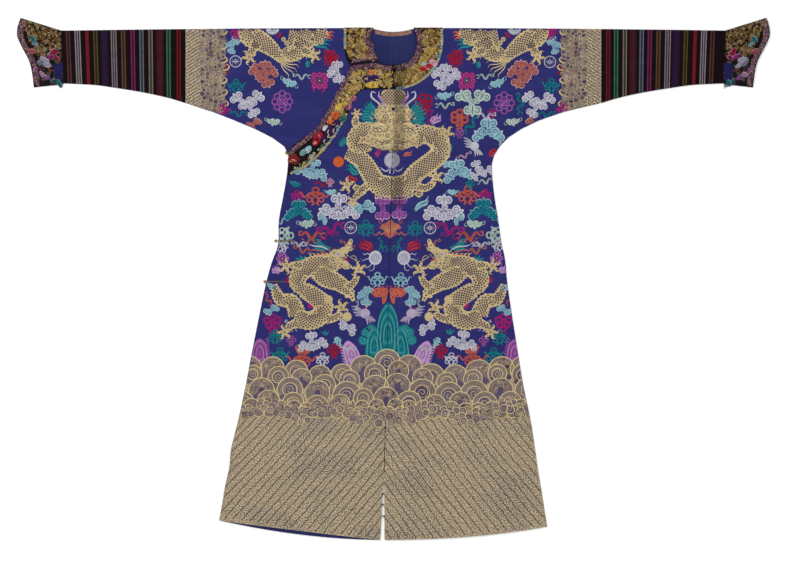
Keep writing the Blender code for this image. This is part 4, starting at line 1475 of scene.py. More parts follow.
def mottle(pen, rng, count, inside, lift):
    """Short strokes of dark and light thread, scattered where inside allows."""
    made = 0
    while made < count:
        u, v = rng.uniform(-90, 90), rng.uniform(-5, 150)
        if inside(u, v):
            mark = pen.at(u, v, 1.0, rng.uniform(0, 360))
            mark.stroke([(-3.6, -0.8), (0, 1.4), (3.6, -0.8)], 2.1,
                        rng.choice((SCALE_DARK, SCALE_DARK, GOLD, DULL_GOLD, PALE_GOLD)), lift)
            made += 1


PALE_GOLD = (240, 224, 178)


def face_half(v):
    """Half the width of the frontal dragon's face at a height above its chin."""
    return float(np.interp(v, (0, 6, 20, 40, 60, 76, 90, 110, 124), (20, 46, 68, 76, 66, 50, 46, 44, 34)))


FRONTAL_LEGS = (
    ((-92, 60), (-104, 78), (-98, 94)),
    ((66, -98), (90, -104), (108, -96), (116, -84)),
    ((-62, -96), (-84, -108), (-104, -98)),
    ((-76, -108), (-92, -122), (-100, -132)),
    ((110, 40), (128, 52), (140, 50)),
    ((70, -112), (82, -126)),
)


def frontal_dragon(threads):
    """The main dragon, facing out, coiled round its pearl below the neck."""
    pen = Pen(threads, 0, 333, lift=0.30)
    for index, path in enumerate(FRONTAL_LEGS):
        scaled_body(pen, path, [24, 18, 14], 0.02 + 0.03 * index, edged=(1, -1), spiny=())
    scaled_body(pen, [(-44, -118), (-12, -120), (28, -120), (58, -112)], [26, 30, 30, 24], 0.06)
    scaled_body(pen, [(52, 22), (84, 44), (122, 28), (132, -6), (100, -37), (66, -62), (44, -92),
                      (4, -103)], [40, 48, 50, 50, 50, 48, 52, 56], 0.20)
    scaled_body(pen, [(4, -103), (-38, -92), (-60, -60), (-84, -28), (-126, -8)],
                [56, 52, 48, 44, 26], 0.34)
    scaled_body(pen, [(-40, 36), (-74, 48), (-96, 40), (-102, 16), (-84, 6), (-58, 12)],
                [44, 60, 48, 44, 30, 20], 0.48)
    claw(pen.at(146, 46, 1.0, -40), 0.95)
    claw(pen.at(120, -74, 1.0, 0), 1.0)
    claw(pen.at(-121, -96, 1.0, 60), 0.95)
    claw(pen.at(-104, -140, 1.0, 170), 0.8)
    claw(pen.at(-100, 100, 1.0, 20), 0.62)
    pen.disc(0, 112, 9, OLD_GOLD, 0.625)      # low in the head, hidden by the face over it
    dragon_face(pen, random.Random(11))
    round_pearl(pen.at(0, -28, lift=0.05), WHITE, 22)
    for side in (-1, 1):
        pen.stroke([(side * 6, -48), (side * 14, -58), (side * 24, -54), (side * 32, -46)], 4.2,
                   WHITE, 0.1, SPEAR)
        pen.stroke([(side * 3, -50), (side * 6, -62), (side * 2, -66)], 3.8, WHITE, 0.1, SPEAR)
    flames(pen.at(-40, -20, 1.0, 80), MAGENTA, 2, 26, 6)
    flames(pen.at(30, -18, 1.0, 25), CORAL, 2, 30, 5)
    flames(pen.at(104, 72, 1.0, 40, lift=0.2), LAVENDER, 3, 36)
    bow(pen.at(84, 132, 1.05, 20), CRIMSON, 5, 14, 9)
    pen.stroke([(84, 120), (96, 106), (84, 100), (98, 92)], 4.5, CRIMSON)
    pen.disc(-146, -32, 15, ORANGE, 0.02, count=16)
    flames(pen.at(-86, -62, 1.1, 150), TEAL, 3, 40)
    flames(pen.at(-92, -80, 1.0, 170), CRIMSON, 2, 36)
    flames(pen.at(-128, 14, 0.9, 120), TEAL, 4, 26)


def dragon_face(pen, rng):
    """A broad mask of close gold curls, horned and maned, its chin at the pen's origin."""
    crown = [(-30, 122), (-34, 146), (-27, 163), (0, 165), (27, 163), (34, 146), (30, 122), (0, 116)]
    pen.blob(crown, OLD_GOLD, 0.60)
    heights = (0, 6, 20, 40, 60, 76, 90, 110, 124)
    side = [(face_half(v), v) for v in heights]
    pen.blob(side + [(-u, v) for u, v in side[::-1]], OLD_GOLD, 0.64, centre=(0, 60))
    for row in range(9):
        for column in range(-4, 5):
            u = column * 8.6 + (row % 2) * 4.3
            v = 126 + row * 4.4
            if abs(u) < 31 - max(0, v - 150) * 0.5:
                scale_mark(pen, np.array([u, v]), np.array([0.0, 1.0]), np.array([1.0, 0.0]), 0.96)

    def skin(u, v):
        eye = hypot(abs(u) - 40, (v - 56) * 1.5) < 14
        return not eye and v < 122 and abs(u) < face_half(v) - 3

    mottle(pen, rng, 620, skin, 0.74)
    for sign in (-1, 1):
        half = pen.at(0, 0, mirror=sign < 0, lift=0.06)
        half.blob([(33, 55), (38, 58), (45, 57.5), (50, 54), (44, 52), (37, 52.5)], PALE_GOLD, 0.76)
        half.disc(42, 55.2, 3.6, SCALE_DARK, 0.84, 0.7)
        half.stroke([(27, 51), (33, 58), (42, 61), (52, 56), (57, 60)], 3.2, SCALE_DARK, 0.84)
        half.stroke([(28, 50), (37, 50), (46, 49.5), (54, 53), (60, 50)], 2.4, SCALE_DARK, 0.84)
        half.stroke([(16, 62), (28, 70), (42, 72), (56, 66), (66, 72)], 6.5, GOLD, 0.78,
                    (0.3, 1.0, 1.0, 0.9, 0.2))
        half.stroke([(18, 68), (30, 77), (44, 79), (56, 76)], 1.8, SCALE_DARK, 0.80)
        half.disc(22, 90, 13, OLD_GOLD, 0.76, 0.8, 16)
        half.spiral(22, 90, 11.5, 2.0, 2.2, SCALE_DARK, 0.86)
        half.ring(22, 90, 12, 2.2, GOLD, 0.84, 0.8)
        half.disc(14, 38, 9.5, OLD_GOLD, 0.80, 0.85, 14)
        half.spiral(14, 38, 8.0, 1.6, 2.4, SCALE_DARK, 0.90)
        half.ring(14, 38, 9.0, 1.8, GOLD, 0.88, 0.85)
        half.stroke([(4, 48), (5, 66), (3, 84), (6, 104)], 3.4, GOLD, 0.78, SPEAR)
        curl_edge(half, [(34, 40), (48, 40), (61, 46), (68, 36), (56, 30), (42, 27), (66, 24), (54, 16),
                         (40, 11), (26, 6), (45, 92), (44, 106), (36, 116), (22, 116), (10, 106),
                         (30, 104)], 6.4, lift=0.72)
        half.stroke([(2, 22), (14, 26), (28, 20), (42, 24), (54, 20)], 2.6, SCALE_DARK, 0.80)
        half.stroke([(2, 17), (14, 20), (28, 15), (42, 18)], 2.0, SCALE_DARK, 0.80)
        for index in range(7):
            u = 3 + index * 8
            low = 1 + index * index * 0.35
            half.stroke([(u, low + 2), (u + 2, low - 7)], 4.0, GOLD, 0.66, SPEAR)
        mane(half.at(46, 92), TEAL, (-6, 10, 26, 42, 56, 68), 46, 9.5)
        mane(half.at(50, 76), TEAL, (-20, -2, 14, 30), 40, 9.5)
        half.stroke([(20, 112), (28, 132), (40, 148), (37, 162)], 8.0, LAVENDER, 0.72, SPEAR)
        half.stroke([(28, 114), (42, 130), (60, 145), (58, 160), (49, 156)], 6.0, WHITE, 0.70,
                    (0.6, 1.0, 0.9, 0.8, 0.4))
        half.stroke([(30, 118), (42, 132), (56, 144)], 1.3, DUSK, 0.86)
        for v in (120, 127, 134, 141):
            half.stroke([(21 + (v - 118) * 0.45, v), (31 + (v - 118) * 0.45, v - 3)], 1.4, DUSK, 0.86)
        for start in ((46, 100), (50, 88), (60, 70), (70, 56)):
            half.stroke([start, (start[0] + 9, start[1] - 3), (start[0] + 13, start[1] + 6)], 3.4,
                        GOLD, 0.66, SPEAR)
    pen.disc(0, 112, 5.0, NAVY, 0.80)


# A leg's path, and how broad it is.
PROFILE_LEGS = (
    (((74, 10), (96, 25), (107, 46)), 17),
    (((24, -74), (52, -68), (64, -54)), 18),
    (((-52, -82), (-72, -90), (-84, -98)), 20),
    (((-44, 72), (-64, 76), (-78, 70)), 17),
    (((66, 10), (90, -8), (98, -24)), 14),
)


def profile_dragon(threads, x, down, mirror, seed):
    """A dragon in profile, striding to the centre with its tail outward."""
    pen = Pen(threads, x, down, lift=0.30, mirror=mirror)
    rng = random.Random(seed)
    scaled_body(pen, [(-121, 22), (-112, -4), (-98, -23), (-78, -20), (-64, -35), (-55, -62)],
                [12, 24, 30, 34, 40, 44], 0.12)
    scaled_body(pen, [(-62, -66), (-25, -78), (6, -66), (16, -36), (-8, -12), (-40, 8)],
                [40, 46, 48, 48, 44, 40], 0.26)
    scaled_body(pen, [(-36, 6), (-56, 22), (-52, 50), (-24, 70), (20, 74), (46, 84)],
                [30, 42, 46, 52, 58, 44], 0.40)
    scaled_body(pen, [(-6, 58), (24, 38), (54, 26), (82, 4), (88, -14)], [40, 50, 44, 34, 20], 0.54)
    for index, (path, size) in enumerate(PROFILE_LEGS):
        scaled_body(pen, path, [size + 8, size, size - 3], 0.66 + 0.05 * index, spiny=())
    claw(pen.at(109, 62, 1.0, 0), 0.95)
    claw(pen.at(64, -42, 1.0, 10), 0.95)
    claw(pen.at(-88, -108, 1.0, 150), 0.9)
    claw(pen.at(-88, 72, 1.0, 60), 0.95)
    pen.disc(81, -67, 13, OLD_GOLD, 0.3, count=14)
    pen.spiral(81, -67, 11, 2.0, 1.8, GOLD, 0.42)
    pen.disc(29, -20, 12, OLD_GOLD, 0.4, count=14)
    pen.ring(29, -20, 10, 1.6, GOLD, 0.5)
    pen.blob([(-26, -30), (-16, -26), (-10, -34), (-16, -44), (-26, -42)], MAGENTA, 0.12)
    pen.blob([(24, 84), (26, 104), (38, 118), (54, 116), (60, 122), (76, 128), (84, 146), (92, 142),
              (88, 124), (80, 108), (70, 98), (80, 84), (88, 70), (80, 62), (62, 68), (40, 66)],
             OLD_GOLD, 0.42, centre=(50, 92))
    pen.stroke([(66, 96), (74, 90), (82, 86)], 7.5, CRIMSON, 0.52, ROPE)
    for u, v in ((68, 99), (74, 95), (72, 82), (78, 80)):
        pen.disc(u, v, 1.9, WHITE, 0.6, count=8)
    pen.disc(50, 104, 5.2, WHITE, 0.5)
    pen.disc(51, 104, 2.6, NAVY, 0.56)
    pen.stroke([(40, 112), (50, 115), (60, 110)], 4.0, GOLD, 0.52)
    pen.stroke([(60, 106), (70, 112), (80, 124), (88, 138)], 3.0, GOLD, 0.52)
    curl_edge(pen, [(86, 140), (80, 128), (86, 118), (30, 92), (34, 80), (44, 72), (58, 70), (72, 68),
                    (82, 70)], 5.4, lift=0.5)
    pen.disc(9, 62, 8.5, NAVY, 0.52, 0.8)
    pen.stroke([(0, 64), (10, 70), (20, 62)], 2.4, GOLD, 0.56)
    mottle(pen, rng, 70, lambda u, v: 26 < u < 84 and abs(v - 94) < 26 - max(0.0, u - 60) * 0.6, 0.50)
    for index in range(8):
        u = -20 + index * 12
        pen.stroke([(u, 96 - abs(index - 3)), (u - 4, 104), (u - 12, 108)], 3.6, GOLD, 0.34, SPEAR)
    for lock, tint in ((((30, 112), (10, 124), (-12, 126), (-32, 132)), WHITE),
                       (((26, 106), (6, 112), (-16, 116), (-34, 112)), OLD_ROSE),
                       (((24, 100), (4, 102), (-12, 104)), CORAL)):
        pen.stroke(lock, 4.2, tint, 0.36, SPEAR)
    pen.stroke([(-32, 132), (-44, 126), (-50, 134), (-58, 130)], 3.0, WHITE, 0.1)
    mane(pen.at(30, 122, lift=0.1), TEAL, (150, 162, 174, 186), 48)
    for u, v in ((96, 100), (100, 88)):
        pen.stroke([(84, 96), (u, v), (u + 8, v - 10), (u + 2, v - 16)], 1.8, GOLD, 0.1)


def shoulder_dragon(threads, mirror):
    """The front half of a dragon that lies over the shoulder."""
    pen = Pen(threads, -336 if mirror else 336, 0, lift=0.30, mirror=mirror)
    scaled_body(pen, [(-140, -34), (-120, -8), (-86, -20), (-52, -14)], [44, 66, 80, 70], 0.22)
    scaled_body(pen, [(-96, -30), (-76, -62), (-50, -72), (-34, -58)], [56, 46, 36, 24], 0.26)
    scaled_body(pen, [(62, 8), (54, -20), (24, -36), (-6, -58), (-30, -84)], [56, 56, 48, 36, 20], 0.28)
    scaled_body(pen, [(34, -36), (48, -58), (56, -70)], [34, 22, 16], 0.32, spiny=())
    scaled_body(pen, [(-86, -58), (-104, -66), (-112, -70)], [24, 18, 14], 0.32, spiny=())
    claw(pen.at(-118, -74, 1.0, 120), 0.9)
    claw(pen.at(58, -78, 1.0, 190), 0.9)
    for turn in (158, 172, 186, 200, 214, 228, 244):
        pen.at(-26, -86, 1.0, turn).stroke([(0, 0), (26, 3), (48, -3), (58, 4)], 3.0, GOLD, 0.1, SPEAR)
    pen.disc(-26, -86, 9, OLD_GOLD, 0.34)
    curl_edge(pen, [(-140, -38), (-126, -42), (-112, -44), (-60, -52), (-44, -40), (-36, -30)], 6.0)
    round_pearl(pen.at(-6, 2), WHITE, 20)
    pen.stroke([(-30, -10), (-22, -24), (-14, -20)], 7.0, CRIMSON, 0.0, SPEAR)
    mane(pen.at(-104, -36), TEAL, (178, 190, 202), 62)
    mane(pen.at(-136, -14), CORAL, (176, 192, 208), 40)
    pen.stroke([(-172, -60), (-160, -66), (-150, -58)], 4.6, CRIMSON)
    for u in (-176, -164, -152):
        pen.stroke([(u + 4, -58), (u, -80), (u + 3, -104)], 5.0, CRIMSON, 0.02, SPEAR)


# ---------------------------------------------------------------- where the figures lie
def overlap_upper(x, down):
    """True where the overlap is the topmost cloth."""
    return (x < 0) & (down > OVERLAP_EDGE[0][1]) & (-x <= overlap_outer(down) + MM)


def body_top(x, down, lift):
    run = np.sign(down + 1e-9) * run_at(x, np.abs(down))
    under = on_cloth("under", x, run, CLOTH + lift)
    left = on_cloth("left", x, run, CLOTH + lift)
    over = on_cloth("under", x, run, RAISED + CLOTH + lift, HEM_CRESCENT)
    top = np.where((x >= 0)[:, None], left, under)
    return np.where(overlap_upper(x, down)[:, None], over, top)


def body_limit(x, down):
    """The cloth's side edges and the vent, a hair inside them."""
    inset = 0.6 * MM
    side = x < 0
    half = np.where(side, half_width("right", down) - OVERLAP_INSET, half_width("left", down)) - inset
    vent = np.where(down > VENT_TOP, seam_half(down) + inset, 0.0)
    return np.where(side, -half, vent), np.where(side, -vent, half)


def collar_top(x, down, lift):
    run = np.sign(down + 1e-9) * run_at(x, np.abs(down))
    rise = RAISED + BAND + lift
    return np.where((x > 0)[:, None], on_cloth("left", x, run, rise), on_cloth("under", x, run, rise))


def band_top(x, down, lift):
    return on_cloth("under", x, run_at(x, down), 2 * RAISED + BAND + lift)


def sleeve_top(x, down, lift):
    run = np.sign(down + 1e-9) * run_at(x, np.abs(down))
    return on_cloth("left", x, run, CLOTH + lift)


def lining_top(x, down, lift):
    return on_cloth("left", x, -run_at(x, down), -GAP - BAND - lift)


# ---------------------------------------------------------------- waves and standing water
def wave_top(x):
    """Depth of the waves' upper edge, in millimetres, at a distance from the seam."""
    outward = abs(x)
    return float(np.interp(outward, (0, 60, 110, 170, 240, 300, 400),
                           (876, 892, 914, 922, 906, 896, 892)))


def wave(pen, radius, lift, tone, curled, rng, covered):
    """One round wave: a bright rim over fine lines or curls, as arches where it is covered below."""
    pen.disc(0, 0, radius, tone, lift, count=24)

    def rim(reach, width, tint, rise):
        if covered:
            pen.arch(reach, width, tint, rise)
        else:
            pen.ring(0, 0, reach, width, tint, rise)

    rim(radius - 1.7, 3.4, GOLD, lift + 0.12)
    inner = radius * (0.60 if curled else 0.20)
    reach = radius - 6.0
    while reach > inner:
        rim(reach, 1.9, WAVE_LINE, lift + 0.10)
        reach -= 4.0
    if curled:
        pen.ring(0, 0, radius * 0.54, 2.8, GOLD, lift + 0.12)
        pen.spiral(0, 0, radius * 0.44, 2.0, 2.2, OLD_GOLD, lift + 0.12, start=rng.uniform(0, 6))
        return
    for _ in range(int(radius * 0.5)):
        angle, share = rng.uniform(0.3, 2.9), rng.uniform(0.3, 0.8)
        curl = pen.at(radius * share * cos(angle), radius * share * sin(angle))
        curl.spiral(0, 0, rng.uniform(3.0, 4.6), 1.2, 1.6, rng.choice((WAVE_LINE, OLD_GOLD, WATER_LINE)),
                    lift + 0.14, start=rng.uniform(0, 6))


WAVE_LINE = (182, 160, 128)
WAVE_TONES = ((94, 84, 112), (102, 92, 116), (86, 76, 102), (108, 97, 110))


def waves(threads, rng):
    """Rows of round waves, each row over the one above, and foam along the bottom."""
    rows = ((0, 36, 0, 62), (22, 30, 32, 66), (52, 38, 30, 74), (86, 32, 0, 66), (112, 22, 26, 38),
            (130, 18, 8, 31))
    for index, (below, radius, start, pitch) in enumerate(rows):
        for sign in (-1, 1):
            outward = start
            while outward < 450:
                if not (outward == 0 and sign < 0):
                    grown = radius * rng.uniform(0.88, 1.12)
                    share = index / (len(rows) - 1)
                    depth = mix(wave_top(outward), 906, share) + below + grown * 0.98
                    depth += rng.uniform(-5, 5) * (index > 0)
                    place = Pen(threads, sign * outward, min(depth, 1050))
                    wave(place, grown, 0.42 + 0.14 * index + 0.02 * rng.random(), rng.choice(WAVE_TONES),
                         grown > 24 and rng.random() < 0.5, rng, index < 4)
                outward += pitch * rng.uniform(0.92, 1.08)
    for row, depth in enumerate((1036, 1048, 1060)):
        for sign in (-1, 1):
            outward = 4 + 7 * row
            while outward < 450:
                drop = depth + 14 * sin(outward / 31.0 + 0.4) + 5 * sin(outward / 11.0) + rng.uniform(-3, 3)
                curl = Pen(threads, sign * outward, drop, lift=0.25)
                radius = rng.uniform(9, 12.5)
                lift = 1.30 + 0.12 * row + 0.03 * rng.random()
                curl.disc(0, 0, radius, rng.choice(WAVE_TONES), lift)
                curl.ring(0, 0, radius - 1.2, 2.2, rng.choice((GOLD, WAVE_LINE)), lift + 0.10)
                curl.spiral(0, 0, radius * 0.62, 1.6, 2.0, rng.choice((GOLD, WAVE_LINE)), lift + 0.10,
                            start=rng.uniform(0, 6))
                outward += rng.uniform(15, 20)


STANDING_TOP = 1062       # the slanting lines run from here to the hem
WATER_LINE = (46, 34, 62)
STANDING_PITCH = 30.5
STANDING_SLOPE = 1.34     # down for each unit outward


def standing_water(threads, rng):
    """Slanting dark lines from the centre seam down and outward."""
    for sign in (-1, 1):
        start = STANDING_TOP - 460 * STANDING_SLOPE
        while start < LENGTH / MM:
            outward = max(0.0, (STANDING_TOP - start) / STANDING_SLOPE)
            line = []
            phase = rng.uniform(0, 6)
            while outward < 452:
                down = start + outward * STANDING_SLOPE
                if down > LENGTH / MM - 3:
                    break
                sway = 1.1 * sin(outward / 17.0 + phase) + 0.35 * sin(outward / 4.3 + phase)
                line.append((sign * (outward + 0.8 * sway), -(down - 0.6 * sway)))
                outward += 4.6
            if len(line) > 3:
                Pen(threads, 0, 0, lift=0.30).stroke(line, 2.1, WATER_LINE, shape=(1.0, 1.0), step=5.0)
            start += STANDING_PITCH


def sleeve_band(threads, sign, rng):
    """The gold band at the end of the upper sleeve: waves, then slanting water."""
    down = -26.0
    while down < 206:
        Pen(threads, 0, 0, lift=0.28).stroke(
            [(sign * 519, -down), (sign * 542, -down - 14), (sign * 565, -down - 28)], 1.7, WATER_LINE,
            shape=(1.0, 1.0), step=5.0)
        down += 9.2
    for column, outward in enumerate((467, 477, 487, 498, 509, 519)):
        down = 2.0 + 5 * (column % 2)
        while down < 228:
            place = Pen(threads, sign * (outward + rng.uniform(-4, 4)), down)
            radius = rng.uniform(6.5, 9.5)
            level = 0.05 + 0.05 * column + 0.03 * rng.random()
            place.disc(0, 0, radius, rng.choice(WAVE_TONES), level)
            place.ring(0, 0, radius - 1.0, 1.3, rng.choice((OLD_GOLD, WAVE_LINE, DULL_GOLD)), level + 0.10)
            place.spiral(0, 0, radius * 0.6, 1.5, 1.4, rng.choice((OLD_GOLD, WAVE_LINE, WATER_LINE)),
                         level + 0.10, start=rng.uniform(0, 6))
            down += rng.uniform(9, 13)
    for down in (8, 46, 84, 104, 140, 172, 204):
        edge = Pen(threads, sign * (458 + 5 * sin(down)), down, lift=0.3)
        edge.stroke([(sign * 12, -9), (sign * -2, -8), (sign * -9, 0), (sign * -3, 7), (sign * 3, 2)],
                    4.4, GOLD, 0.1, SPEAR)


# ---------------------------------------------------------------- the ground's small figures
# What to draw, distance from the seam, distance down, its thread, size and turn. Drawn on
# both halves; the second table is only on the wearer's left, the third on the right.
BOTH_HALVES = (
    (lambda p, t: bow(p, t, 5), 170, 82, CRIMSON, 1.0, 0),
    (bud, 232, 100, TEAL, 0.95, 0),
    (flower, 202, 142, MAGENTA, 1.15, 0),
    (bat, 286, 148, AQUA, 1.15, 25),
    (ribbon, 250, 132, PALE_GREEN, 0.9, 0),
    (lambda p, t: cloud(p, t, FIVE), 354, 124, OLD_ROSE, 1.0, 0),
    (lambda p, t: cloud(p, t, CORNER), 438, 50, AQUA, 0.62, 30),
    (roundel, 429, 90, WHITE, 1.05, 0),
    (lambda p, t: bow(p, t, 4), 430, 10, MAGENTA, 0.8, 0),
    (ribbon, 420, 28, AQUA, 0.9, 0),
    (ribbon, 458, 118, CRIMSON, 1.0, -60),
    (lambda p, t: trailing(p, t, 30), 430, 150, TEAL, 0.95, 0),
    (lambda p, t: cloud(p, t, TWO), 380, 258, OLD_ROSE, 0.7, 0),
    (ribbon, 420, 232, TEAL, 1.0, 0),
    (lambda p, t: trailing(p, t, 26), 462, 214, MAGENTA, 0.9, 20),
    (lambda p, t: cloud(p, t, SLOPING), 398, 206, WHITE, 1.0, 0),
    (endless_knot, 302, 202, PURPLE, 1.15, 0),
    (bat, 326, 254, PALE_GREEN, 1.0, 10),
    (lambda p, t: trailing(p, t, 40), 208, 450, CORAL, 1.25, 0),
    (lambda p, t: cloud(p, t, THREE_LONG), 143, 496, WHITE, 1.15, 0),
    (lambda p, t: cloud(p, t, THREE_UP), 252, 500, TEAL, 1.05, 0),
    (lambda p, t: cloud(p, t, STACKED), 23, 490, PURPLE, 1.1, 0),
    (lambda p, t: trailing(p, t, 20), 66, 540, TEAL, 1.1, 0),
    (roundel, 107, 546, WHITE, 1.12, 0),
    (ribbon, 162, 546, MAGENTA, 1.5, -15),
    (lambda p, t: ribbon(p, t, 4), 168, 566, MAGENTA, 1.1, 160),
    (bat, 229, 536, PALE_GREEN, 1.15, 0),
    (ribbon, 216, 566, CORAL, 1.35, 0),
    (ribbon, 214, 580, OLD_ROSE, 1.0, 180),
    (lambda p, t: trailing(p, t, 22), 281, 566, PALE_GREEN, 1.2, 90),
    (lambda p, t: trailing(p, t, 22), 294, 590, WHITE, 0.9, 30),
    (lambda p, t: flower(p, t, PURPLE, 6, 11), 291, 628, PURPLE, 0.95, 0),
    (leaves, 240, 640, TEAL, 1.1, 0),
    (ribbon, 236, 606, OLD_ROSE, 1.1, 10),
    (ribbon, 248, 590, WHITE, 0.9, 0),
    (lambda p, t: flames(p, t, 2, 34), 262, 700, CRIMSON, 0.9, 40),
    (lambda p, t: cloud(p, t, CORNER), 62, 734, AQUA, 0.78, 15),
    (lambda p, t: trailing(p, t, 30), 32, 682, AQUA, 1.05, 0),
    (lambda p, t: cloud(p, t, TWO), 108, 816, WHITE, 0.95, 60),
    (lambda p, t: flames(p, t, 3, 26), 128, 846, AQUA, 1.0, -60),
    (lambda p, t: bow(p, t, 4, 10), 146, 880, CRIMSON, 0.95, 0),
    (lambda p, t: trailing(p, t, 22), 176, 898, WHITE, 0.9, 0),
    (lambda p, t: cloud(p, t, THREE_LONG), 206, 858, WHITE, 0.85, -10),
    (lambda p, t: trailing(p, t, 40), 232, 898, CORAL, 1.15, 0),
    (lambda p, t: flames(p, t, 5, 30), 232, 890, CORAL, 1.0, 90),
    (lambda p, t: trailing(p, t, 26), 292, 888, TEAL, 1.1, 0),
    (lambda p, t: bow(p, t, 5, 12), 316, 800, MAGENTA, 1.15, 0),
    (lambda p, t: trailing(p, t, 16), 308, 838, TEAL, 1.0, 0),
    (lambda p, t: cloud(p, t, TWO), 318, 770, AQUA, 0.7, 0),
    (ribbon, 118, 590, OLD_ROSE, 0.9, 20),
    (lambda p, t: flames(p, t, 3, 30), 300, 668, LAVENDER, 0.9, 30),
    (bat, 322, 706, AQUA, 0.85, 30),
    (ribbon, 330, 740, CORAL, 0.8, 60),
    (lambda p, t: cloud(p, t, TWO), 186, 520, AQUA, 0.6, 70),
    (ribbon, 300, 528, AQUA, 0.85, -20),
    (bud, 124, 700, PINK, 0.7, 0),
    (ribbon, 84, 762, PALE_GREEN, 0.7, 80),
    (lambda p, t: bow(p, t, 4, 10), 262, 850, PURPLE, 0.75, 0),
    (leaves, 172, 838, TEAL, 0.9, 10),
    (ribbon, 266, 812, WHITE, 0.8, 30),
    (ribbon, 110, 874, PALE_GREEN, 0.8, 0),
    (lambda p, t: trailing(p, t, 24), 258, 452, MAGENTA, 0.8, 0),
    (bat, 166, 446, AQUA, 0.8, 0),
)
WEARERS_LEFT = (
    (lambda p, t: cloud(p, t, FIVE), 141, 132, WHITE, 1.0, -10),
    (bat, 139, 184, AQUA, 1.1, 8),
    (ribbon, 141, 212, PALE_GREEN, 1.0, 0),
    (lambda p, t: cloud(p, t, THREE_DOWN), 217, 204, PALE_GREEN, 1.15, 0),
    (ribbon, 254, 238, WHITE, 1.1, 0),
    (ribbon, 344, 205, TEAL, 1.1, 90),
    (lambda p, t: bow(p, t, 6, 14), 180, 242, CORAL, 1.15, 0),
    (ribbon, 216, 262, TEAL, 1.2, 50),
    (lambda p, t: cloud(p, t, THREE_UP), 262, 282, AQUA, 1.15, 0),
    (lambda p, t: bow(p, t, 3, 8), 183, 282, PURPLE, 0.75, 0),
    (crane, 222, 322, WHITE, 1.05, -10),
    (leaves, 154, 338, TEAL, 1.1, 20),
    (lambda p, t: cloud(p, t, TWO), 142, 366, AQUA, 0.72, 0),
    (lambda p, t: cloud(p, t, THREE_UP), 182, 392, AQUA, 1.05, 10),
    (lambda p, t: cloud(p, t, SLOPING), 244, 390, WHITE, 0.8, -20),
    (lambda p, t: flames(p, t, 3, 44), 262, 346, CRIMSON, 1.05, 20),
    (lambda p, t: flames(p, t, 2, 52), 66, 500, AQUA, 1.05, 40),
    (ribbon, 300, 316, PALE_GREEN, 0.95, -50),
    (lambda p, t: bow(p, t, 4, 10), 272, 232, MAGENTA, 0.7, 0),
    (bat, 296, 346, TEAL, 0.8, 60),
    (ribbon, 196, 350, PINK, 0.8, 20),
    (ribbon, 258, 418, PALE_GREEN, 0.9, 10),
    (lambda p, t: bow(p, t, 4, 10), 214, 424, TEAL, 0.7, 0),
    (ribbon, 104, 246, MAGENTA, 0.9, 70),
)
WEARERS_RIGHT = (
    (lambda p, t: cloud(p, t, TWO), 236, 374, AQUA, 1.2, 0),
    (lambda p, t: cloud(p, t, THREE_LONG), 216, 388, AQUA, 0.95, 15),
    (lambda p, t: cloud(p, t, TWO), 76, 488, AQUA, 1.1, 20),
    (lambda p, t: cloud(p, t, CORNER), 152, 122, WHITE, 0.9, 0),
    (ribbon, 186, 424, CRIMSON, 0.9, 0),
    (bat, 262, 424, TEAL, 0.8, 20),
    (lambda p, t: flames(p, t, 3, 34), 300, 440, CRIMSON, 0.9, 60),
    (ribbon, 282, 398, PALE_GREEN, 0.8, 40),
    (lambda p, t: bow(p, t, 4, 10), 168, 420, PINK, 0.6, 0),
)


def ground_figures(threads, rng):
    for sign, tables in ((1, (BOTH_HALVES, WEARERS_LEFT)), (-1, (BOTH_HALVES, WEARERS_RIGHT))):
        for index, (draw, outward, down, tint, size, turn) in enumerate(sum(tables, ())):
            x = sign * outward + rng.uniform(-2, 2)
            beside_band = sign < 0 and down < 330 and outward > 60
            if beside_band and on_plain_under_front(outward, down):
                continue
            if sign < 0 and under_the_band(outward, down):
                continue
            pen = Pen(threads, x, down + rng.uniform(-2, 2), size * rng.uniform(0.95, 1.05),
                      turn, mirror=sign < 0, lift=0.25 + 0.03 * (index % 9))
            draw(pen, tint)


def on_plain_under_front(outward, down):
    """The under front is plain between the band and the side, down to the underarm."""
    return 172 < down and outward < 296 + (down - 172) * 0.1


def under_the_band(outward, down):
    """Places on the wearer's right that the collar or its band would cover."""
    upper = float(np.interp(down, (90, 101, 270, 330), (118, 118, 206, 282)))
    lower = float(np.interp(down, (167, 205, 255, 343, 403), (80, 112, 135, 193, 283)))
    return 150 < down < 400 and lower - 24 < outward < upper + 24


